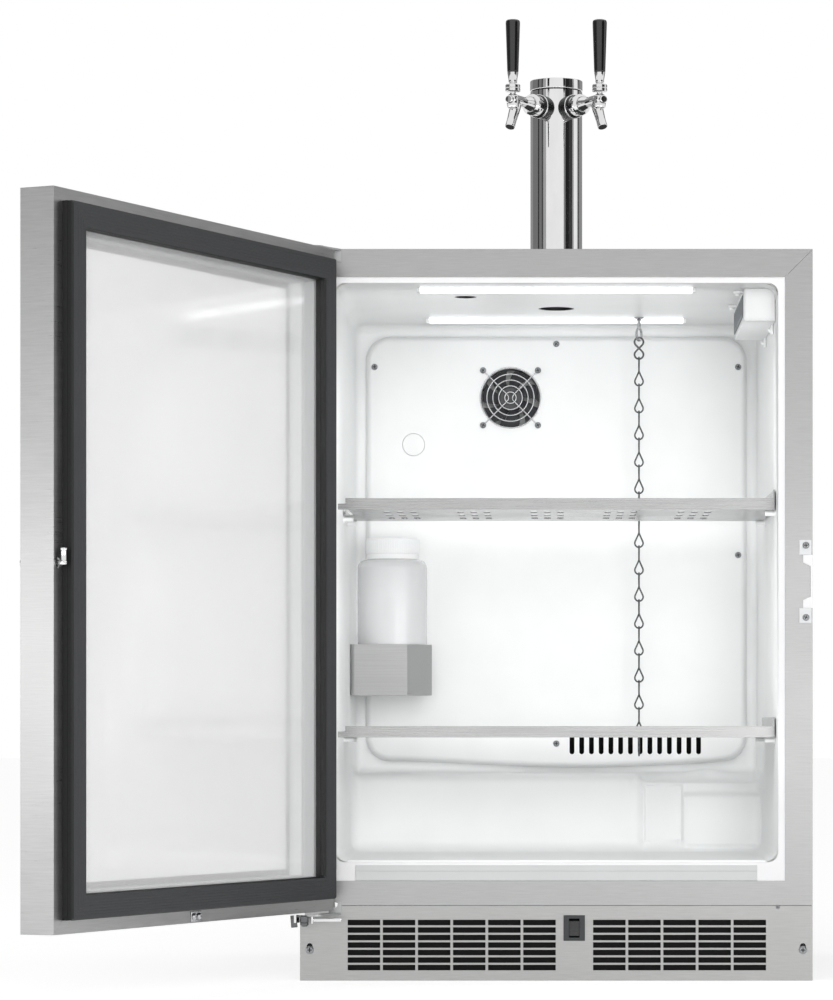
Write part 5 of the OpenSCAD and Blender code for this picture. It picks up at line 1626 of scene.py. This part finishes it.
@dataclass
class Door:
    """The glass door: gasket, glass, steel skin and hardware, all turned to where it stands."""

    left: float = -285.7
    right: float = 281.7
    low: float = 98.7
    high: float = 848.4
    lock: P2 = (289.5, 471.0)
    ribs: tuple[float, ...] = (6.0, 9.0, 12.0, 15.0, 18.0, 21.0)

    def ring(self, section: Sequence[P2]) -> bmesh.types.BMesh:
        """Sweeps a section of inset and depth round the gasket's rectangle.

        Args:
            section: The section's points.

        Returns:
            The mesh.
        """
        loops = []
        for inset, y in section:
            x0, x1 = self.left + inset, self.right - inset
            z0, z1 = self.low + inset, self.high - inset
            corners = rounded([(x0, z0), (x1, z0), (x1, z1), (x0, z1)], 1.2, 2)
            loops.append([(x, y, z) for x, z in corners])
        return loft(loops, closed=True)

    def build(self) -> None:
        """Makes the gasket with its ribs, its side flanks painted near-black as shade, and dresses the
        door.
        """
        face, base = -0.35, -7.6
        ridge: list[P2] = [(0.2, base), (0.0, -3.0), (1.2, face - 0.5), (3.2, face)]
        for u in self.ribs:
            ridge += [(u - 0.5, face), (u, face - 0.25), (u + 0.5, face)]
        ridge += [(23.2, face), (25.4, face - 0.6), (26.5, -3.2), (26.2, base)]
        ridge += [(22.0, base - 0.2), (21.5, -8.3), (5.0, -8.3), (4.5, base - 0.2)]
        gasket = keep(self.ring(ridge), "magnetic_gasket", GASKET, 25, door_turn())
        # Faces that turn sideways take the carrier's near-black: painted shade on the flanks of the grey
        # gasket.
        outward = door_turn().to_3x3() @ Vector((0, 1, 0))
        gasket.data.materials.append(CARRIER_AND_FLANK_SHADE.material())
        for flank in gasket.data.polygons:
            flank.material_index = int(abs(flank.normal.dot(outward)) < 0.5)
        fit_on(gasket, "door", "gasket_grey", "door_gasket")
        dress(CARRIER_AND_FLANK_SHADE, "gasket_carrier")
        # Spacer and core wear the whitened finishes: painted light in the shaded pocket between the
        # panes.
        dress(SPACER_PAINTED_LIGHT, "glass_spacer")
        dress(CORE_PAINTED_LIGHT, "door_core")
        dress(GLASS, "glass_panes")
        dress(DOOR_STEEL, "door_skin")
        dress(HINGE_STEEL, "hinge_brackets")
        dress(TAP_CHROME, "door_hinge_plates")
        self.build_hardware()
        self.build_hinge()

    def build_hinge(self) -> None:
        """Adds the lower hinge's knuckle, leaf, arm and rivet, drawn where they stand."""
        barrel: list[P2] = [(0, 65.6), (3.4, 65.6), (4.7, 67.2), (5.1, 67.4), (5.1, 69.6)]
        barrel += [(4.5, 70.0), (5.1, 70.4), (5.1, 77.4), (4.2, 78.0), (4.2, 79.3), (0, 79.3)]
        leaf = put(-308, -32.6, 71.6) @ Matrix.Rotation(math.radians(-5), 4, "Y")
        swinging = merge([
            placed(lathe(barrel, 40), put(-296, -30, 0)),
            placed(block((-3.8, -0.8, -7.2), (3.8, 0.8, 7.2), 0.6), leaf),
            block((-304, -33.2, 76.4), (-294, -31.8, 78.6), 0.5),
        ])
        fit_on(keep(swinging, "hinge_knuckle", CHAIN_ZINC, 30), "door", "screw_steel")
        rivet: list[P2] = [(0, 1.2), (2.7, 1.2), (3.2, 0.7), (3.7, 0.6), (3.7, 0)]
        fixed = merge([
            block((-288, -31, 68.6), (-285.7, -23, 79.3), 0.5),
            block((-286, -28.4, 70.8), (-252.2, -25, 75.2), 1.0),
            placed(lathe(rivet, 32), aim((-262.3, -2.6, 89.7), TO_FRONT)),
        ])
        fit_on(keep(fixed, "hinge_arm", TAP_CHROME, 30), "cabinet", "screw_steel")

    def build_hardware(self) -> None:
        """Makes the lock's cam and cylinder, the stop pad with its two rivets, and a hole's plug."""
        turn = door_turn()
        x, z = self.lock
        pin = [(0, 0), (3.7, 0), (3.7, 1.4), (2.9, 2.2), (2.9, 12.4), (3.7, 13.2), (3.7, 15.5)]
        nose = [(0, 0), (3.0, 0), (3.0, 8), (2.2, 8.8), (0, 8.8)]
        cam = merge([
            placed(turned([*pin, (0, 15.5)], 0.7, 3, 32), put(x, -7.5, z)),
            placed(turned(nose, 0.6, 3, 32), aim((x, -14.8, z), TO_BACK)),
            block((285.9, -10.6, 468.4), (293.1, -4.6, 472.6), 1.2),
        ])
        fit_on(keep(cam, "latch_cam", TAP_CHROME, turn=turn), "door_lock_cam", "screw_steel", "lock_cam")
        barrel = turned([(0, 0), (7, 0), (7, 1.6), (5.4, 2.0), (5.4, 41), (0, 41)], 0.5, 3, 40)
        slot = merge([
            placed(barrel, aim((x, -57.3, z), TO_BACK)),
            block((289, -57.6, 468), (290, -56.9, 474), 0.1, 1),
        ])
        fit_on(keep(slot, "lock_barrel", ZINC, turn=turn), "door", "screw_steel", "lock_cylinder")
        pad = [block((2, -14.25, 85.5), (24, -13.1, 97), 0.5)]
        for place in (7.5, 18.5):
            rivet = turned([(0, 3.0), (2.4, 2.8), (3.8, 1.2), (3.8, 0)], 1.0, 4, 28)
            pad.append(placed(rivet, aim((place, -13.2, 91.2), TO_BACK)))
        fit_on(keep(merge(pad), "stop_pad", ZINC, turn=turn), "door", "strike_steel", "door_stop_pad")
        button = turned([(0, 1.6), (2.6, 1.4), (3, 0)], 0.5, 3, 24)
        plug = keep(button, "door_plug", BLACK_ABS, turn=turn @ put(-262, -34, 862))
        fit_on(plug, "door", "black_plastic")


@dataclass
class BeerTower:
    """The polished tower with its cap, collars and two taps."""

    axis_y: float = 287.0
    radius: float = 32.5
    foot: float = 863.35
    top: float = 1110.3
    cap: float = 13.0
    tap_z: float = 1072.9
    reach: float = 108.0
    angle: float = math.radians(29.7)

    def tap(self, side: int) -> Matrix:
        """Returns the frame of a tap: X outwards from the tower, Z up, origin on its axis."""
        turn = Matrix.Rotation(-math.pi / 2 + side * self.angle, 4, "Z")
        return put(0, self.axis_y, 0) @ turn

    def build(self) -> None:
        """Makes the column, cap, flange and both taps."""
        r, seam, f = self.radius, self.top - self.cap, self.foot
        column = [(r - 1.5, f + 4.1), (r, f + 4.1), (r, seam - 0.9)]
        column += [(r - 1.0, seam - 0.5), (r - 1.5, seam - 0.5)]
        lid = [(0, self.top), (r + 0.4, self.top), (r + 0.4, seam + 0.5), (r - 1.2, seam + 0.2)]
        lid = rounded([*lid, (r - 3, seam)], 1.0, 5, False)
        lid += [(r - 3, self.top - 3), (0, self.top - 3)]
        flange = [(r - 2.5, f), (57, f), (57, f + 5), (r + 5, f + 7), (r + 2.6, f + 13.6)]
        flange += [(r + 0.3, f + 13.9), (r + 0.3, f + 4), (r - 2.5, f + 4)]
        for part, shape in (
            ("column", lathe(column, 160, True)),
            ("cap", lathe(lid, 160)),
            ("flange", lathe(rounded(flange, 1.6, 4), 128, True)),
        ):
            made = keep(shape, f"polished_{part}", TOWER_CHROME, 30, put(0, self.axis_y, 0))
            fit_on(made, "cabinet", "tower_chrome", f"tower_{part}")
        collars, rims, nuts, bodies, holes = [], [], [], [], []
        for side in (-1, 1):
            out = self.tap(side) @ put(0, 0, self.tap_z) @ ALONG_X
            s = r - 3.2
            black = [(0, s), (14.5, s), (14.5, s + 17), (13.2, s + 19.5), (13.2, s + 24), (0, s + 24)]
            collars.append(placed(turned(black, 1.2, 4, 72), out))
            rim = [(14.4, s + 15.2), (14.9, s + 15.8), (14.9, s + 17.2), (14.0, s + 17.8)]
            rims.append(placed(lathe(rounded(rim, 0.4, 3), 72, True), out))
            n = r + 19.6
            nut = [(8, n), (13.2, n), (13.2, n + 9.6), (12.4, n + 11.5), (9.6, n + 14), (8, n + 14)]
            nuts.append(placed(lathe(rounded(nut, 0.9, 4), 72, True), out))
            for k in range(6):
                spot = out @ Matrix.Rotation(k * math.pi / 3, 4, "Z") @ put(13.25, 0, n + 5)
                # Each spanner hole is a shallow black disc on the nut: painted shade, not a drilled
                # hole.
                hole = lathe([(0, 0), (1.5, 0), (1.5, -1.2), (0, -1.2)], 16)
                holes.append(placed(hole, spot @ ALONG_X))
            self.build_lever(side)
            bodies.append(self.faucet(side))
        for name, parts, finish, angle, slot, nodes in (
            ("tap_collars", collars, BLACK_ABS, 35, "black_plastic", ("tap_shanks",)),
            ("collar_rims", rims, TAP_CHROME, 35, "tap_chrome", ()),
            ("spanner_nuts", nuts, TAP_CHROME, 35, "tap_chrome", ("coupling_nuts",)),
            ("spanner_holes", holes, BLACK_ABS, 35, "black_plastic", ()),
            ("cast_taps", bodies, TAP_CHROME, 60, "tap_chrome", ("faucet_bodies",)),
        ):
            fit_on(keep(merge(parts), name, finish, angle), "cabinet", slot, *nodes)

    def faucet(self, side: int) -> bmesh.types.BMesh:
        """Makes one tap's body: simple solids melted into one casting.

        Args:
            side: -1 for the left tap, 1 for the right.

        Returns:
            The mesh, in its place.
        """
        n, x = self.radius + 33.65, self.reach
        tail = [(0, n), (9.4, n), (8.6, n + 5), (6.6, n + 16), (6.8, x - 6), (7.4, x + 1)]
        tail += [(6.2, x + 6), (0, x + 6.5)]
        spout = [(0, -2), (6.9, 0), (6.6, 12), (5.9, 24), (6.1, 32.6), (6.1, 34), (0, 34)]
        seat = [(0, -11), (6.6, -11), (7.5, -5), (7.5, 3.5), (5.6, 6.0), (0, 6.0)]
        lean = Matrix.Rotation(math.radians(180 - 27), 4, "Y")
        parts = [
            placed(turned(tail, 3.0, 4, 40), ALONG_X),
            placed(turned(seat, 1.6, 4, 40), put(x, 0, 0)),
            placed(turned(spout, 1.0, 3, 40), put(x - 8, 0, -5) @ lean),
        ]
        raw = keep(merge(parts), "tap.raw", TAP_CHROME)
        step = raw.modifiers.new("melt", "REMESH")
        step.mode, step.voxel_size = "VOXEL", 0.55 * MM
        ease = raw.modifiers.new("ease", "SMOOTH")
        ease.iterations, ease.factor = 9, 0.5
        cast = in_mm(settle(raw))
        bpy.data.objects.remove(raw)
        cap = turned([(0, 10.4), (4.0, 10.4), (5.1, 9.6), (5.1, 4.5), (0, 4.5)], 0.8, 4, 48)
        whole = merge([cast, placed(cap, put(x, 0, -1) @ ALONG_X)])
        return placed(whole, self.tap(side) @ put(0, 0, self.tap_z))

    def build_lever(self, side: int) -> None:
        """Makes a tap's lever, its faceted collar, ferrule and black handle.

        Args:
            side: -1 for the left tap, 1 for the right.
        """
        name = "left" if side < 0 else "right"
        at = self.tap(side) @ put(self.reach, 0, self.tap_z)
        stem = [(0, -5.2), (3.5, -4), (5.2, 0), (4.2, 3), (3.7, 5), (3.7, 9.2), (0, 9.2)]
        collar = [(0, 9.1), (8.4, 9.1), (9.2, 10.2), (9.2, 13.0), (8.7, 13.6), (9.2, 14.2)]
        collar += [(9.2, 17.4), (8.2, 18.5), (0, 18.5)]
        ferrule = [(0, 18.4), (4.4, 18.4), (4.4, 20.0), (5.3, 21.2), (5.3, 23.5), (6.9, 33.4)]
        ferrule += [(0, 33.4)]
        grip = [(0, 33.5), (6.9, 33.5), (7.0, 36), (8.9, 94.5), (8.4, 96.8), (6.8, 97.9), (0, 98.0)]
        lever = merge([
            placed(turned(stem, 1.2, 4, 40), at),
            placed(turned(collar, 0.4, 3, 48), at),
            placed(turned(ferrule, 0.6, 3, 48), at),
        ])
        made = keep(lever, f"{name}_tap_lever", TAP_CHROME, 30)
        fit_on(made, f"tap_{name}", "tap_chrome", f"{name}_lever")
        made = keep(turned(grip, 0.9, 4, 72), f"{name}_tap_grip", GLOSS_BLACK, 35, at)
        fit_on(made, f"tap_{name}", "gloss_black", f"{name}_handle")


@dataclass
class CabinetSkin:
    """Outer sheets, front frame, grille, feet and the works in the bay."""

    def build(self) -> None:
        """Dresses the outside and the bay, and adds a black filter behind the grille that also paints
        the bay's shade.
        """
        for finish, nodes in (
            (FRONT, ("face_frame",)),
            (GRILLE, ("grille_panel",)),
            (SHELL_BLACK, ("cabinet_shell",)),
            (REAR_GREY, ("rear_cover",)),
            (BLACK_ABS, ("cord_gland", "roof_sleeves", "levelling_feet")),
            (PAN_ZINC, ("base_pan",)),
            (PUMP_BLACK, ("compressor",)),
            (RUBBER, ("compressor_mounts",)),
            (SHELF_STEEL, ("upper_shelf", "lower_shelf")),
        ):
            dress(finish, *nodes)
        # Black sheets behind the grille slots: a filter that also serves as painted shade for the bay.
        sheets = [block((a, 3.2, 6), (b, 4.6, 79), 0.3, 1) for a, b in ((-256, 2), (38, 254))]
        fit_on(keep(merge(sheets), "grille_filter", FILTER_AND_SHADE), "cabinet", "black_plastic")


@dataclass
class Studio:
    """Pale floor, soft light, cards that only reflections see, and the camera.

    Its sizes are in metres. The cards' first two numbers are degrees round the tower, to the right
    of the camera as seen from there, and the third is how bright the card is.
    """

    level: float = 0.5
    eye: P3 = (0.0, -4.576, 0.3029)
    lens: float = 139.35
    shift: P2 = (-0.1398, 0.2244)
    middle: P3 = (0, 0.1, 0.5)
    tower_y: float = 0.287
    card_reach: float = 3.2
    card_heights: P2 = (1.15, 3.2)
    strip_heights: P2 = (0.26, 0.56)
    floor_drop: float = 0.0002
    floor_glow: float = 0.68
    cards: tuple[P3, ...] = (
        (-180, -128, 0.32),
        (-128, -89, 0.2),
        (-89, -82, 0.03),
        (-82, -68, 0.2),
        (-68, -60, 0.08),
        (-60, -46, 0.42),
        (33, 41, 0.25),
        (41, 58, 0.02),
        (58, 76, 0.05),
        (76, 84, 0.4),
        (106, 114, 0.4),
        (114, 121, 0.02),
        (121, 178, 0.3),
    )
    strips: tuple[P3, ...] = ((8, 48, 3.8), (-88, -25, 3.0))

    @staticmethod
    def blank(owner: bpy.types.ID) -> bpy.types.NodeTree:
        """Returns the emptied node tree of a world or a material.

        Args:
            owner: The world or material.

        Returns:
            The tree.
        """
        owner.use_nodes = True
        owner.node_tree.nodes.clear()
        return owner.node_tree

    @staticmethod
    def seen(tree: bpy.types.NodeTree) -> bpy.types.NodeSocket:
        """Returns 1 for rays from the camera, from gloss and through glass.

        Args:
            tree: The tree that gets the nodes.

        Returns:
            The value, 0 or 1.
        """
        path = add(tree, "ShaderNodeLightPath").outputs
        most = {"operation": "MAXIMUM"}
        first = {0: path["Is Camera Ray"], 1: path["Is Glossy Ray"]}
        two = add(tree, "ShaderNodeMath", most, first).outputs[0]
        return add(tree, "ShaderNodeMath", most, {0: two, 1: path["Is Transmission Ray"]}).outputs[0]

    def build(self) -> None:
        """Sets world, floor, lamps, cards and camera."""
        world = bpy.data.worlds.new("studio")
        bpy.context.scene.world = world
        tree = self.blank(world)
        white = linear("#FFFFFF")
        soft = add(tree, "ShaderNodeBackground", {"Color": white, "Strength": self.level})
        bright = add(tree, "ShaderNodeBackground", {"Color": white, "Strength": 1.0})
        links = {0: self.seen(tree), 1: soft.outputs[0], 2: bright.outputs[0]}
        mix = add(tree, "ShaderNodeMixShader", {}, links)
        add(tree, "ShaderNodeOutputWorld", {}, {0: mix.outputs[0]})
        self.floor()
        self.lamp("key", (-1.6, -3.2, 3.0), self.middle, 2.2, 22)
        self.lamp("front", (0.3, -4.4, 0.9), self.middle, 1.8, 98)
        self.lamp("fill", (0, 0.02, 0.5), (0, 0.5, 0.44), 0.5, 1.14)
        for cards, heights in ((self.cards, self.card_heights), (self.strips, self.strip_heights)):
            for low, high, grey in cards:
                self.card(low, high, heights, grey)
        self.camera()

    def camera(self) -> None:
        """Stands the camera where the photograph was taken from."""
        lens = bpy.data.cameras.new("camera")
        lens.sensor_width, lens.lens = 36.0, self.lens
        lens.shift_x, lens.shift_y = self.shift
        lens.clip_end = 100
        camera = link("camera", lens)
        camera.location = self.eye
        camera.rotation_euler = (math.pi / 2, 0, 0)
        bpy.context.scene.camera = camera
        bpy.context.scene.view_settings.view_transform = "Standard"

    def floor(self) -> None:
        """Makes the pale floor, white to the camera but for the object's shadow."""
        bm = bmesh.new()
        bmesh.ops.create_grid(bm, x_segments=2, y_segments=2, size=30)
        mesh = to_mesh(bm, "floor")
        made = bpy.data.materials.new("pale_floor")
        tree = self.blank(made)
        matt = add(tree, "ShaderNodeBsdfDiffuse", {"Color": linear("#C8C8C8")})
        part = {"operation": "MULTIPLY", 1: self.floor_glow}
        share = add(tree, "ShaderNodeMath", part, {0: self.seen(tree)}).outputs[0]
        white = {"Color": linear("#FFFFFF")}
        glow = add(tree, "ShaderNodeEmission", white, {"Strength": share})
        both = add(tree, "ShaderNodeAddShader", {}, {0: matt.outputs[0], 1: glow.outputs[0]})
        add(tree, "ShaderNodeOutputMaterial", {}, {0: both.outputs[0]})
        mesh.materials.append(made)
        floor = link("floor", mesh)
        floor.location = (0, 0, -self.floor_drop)

    @staticmethod
    def lamp(name: str, place: P3, target: P3, size: float, power: float) -> None:
        """Adds a soft square lamp.

        Args:
            name: Its name.
            place: Where it stands.
            target: What it is aimed at.
            size: Its side.
            power: Its power in watts.
        """
        light = bpy.data.lights.new(name, "AREA")
        light.size, light.energy = size, power
        lamp = link(name, light)
        lamp.location = place
        lamp.rotation_euler = (Vector(target) - Vector(place)).to_track_quat("-Z", "Y").to_euler()
        lamp.visible_glossy = False

    def card(self, low: float, high: float, heights: P2, grey: float) -> None:
        """Stands a curved card round the tower that only reflections see.

        Args:
            low: Where it starts, in degrees to the right of the camera as seen from the tower.
            high: Where it ends.
            heights: Its lower and upper edge.
            grey: How bright it is.
        """
        bm = bmesh.new()
        rows = []
        for i in range(9):
            a = math.radians(low + (high - low) * i / 8)
            x, y = self.card_reach * math.sin(a), self.tower_y - self.card_reach * math.cos(a)
            rows.append([bm.verts.new((x, y, z)) for z in heights])
        for a, b in zip(rows, rows[1:]):
            bm.faces.new((a[0], b[0], b[1], a[1]))
        name = f"card_{int(low)}_{int(high)}".replace("-", "m")
        mesh = to_mesh(bm, name)
        made = bpy.data.materials.new(name)
        tree = self.blank(made)
        glow = add(tree, "ShaderNodeEmission", {"Color": (grey, grey, grey, 1), "Strength": 1.0})
        add(tree, "ShaderNodeOutputMaterial", {}, {0: glow.outputs[0]})
        mesh.materials.append(made)
        card = link(name, mesh)
        for ray in ("camera", "diffuse", "shadow", "transmission"):
            setattr(card, f"visible_{ray}", False)


REPEAT = repeat_tree()
WIRES = wire_tree()
POLAR = polar_tree()


def main() -> None:
    """Builds every sub-assembly, then the studio."""
    logging.basicConfig(level=logging.INFO, format="%(name)s: %(message)s")
    parts = (CabinetSkin, Cavity, EvaporatorCover, Fittings, DrainBottle, HangingChain, Door, BeerTower)
    for part in (*parts, Studio):
        LOG.info("building %s", part.__name__)
        part().build()


if __name__ == "__main__":
    main()
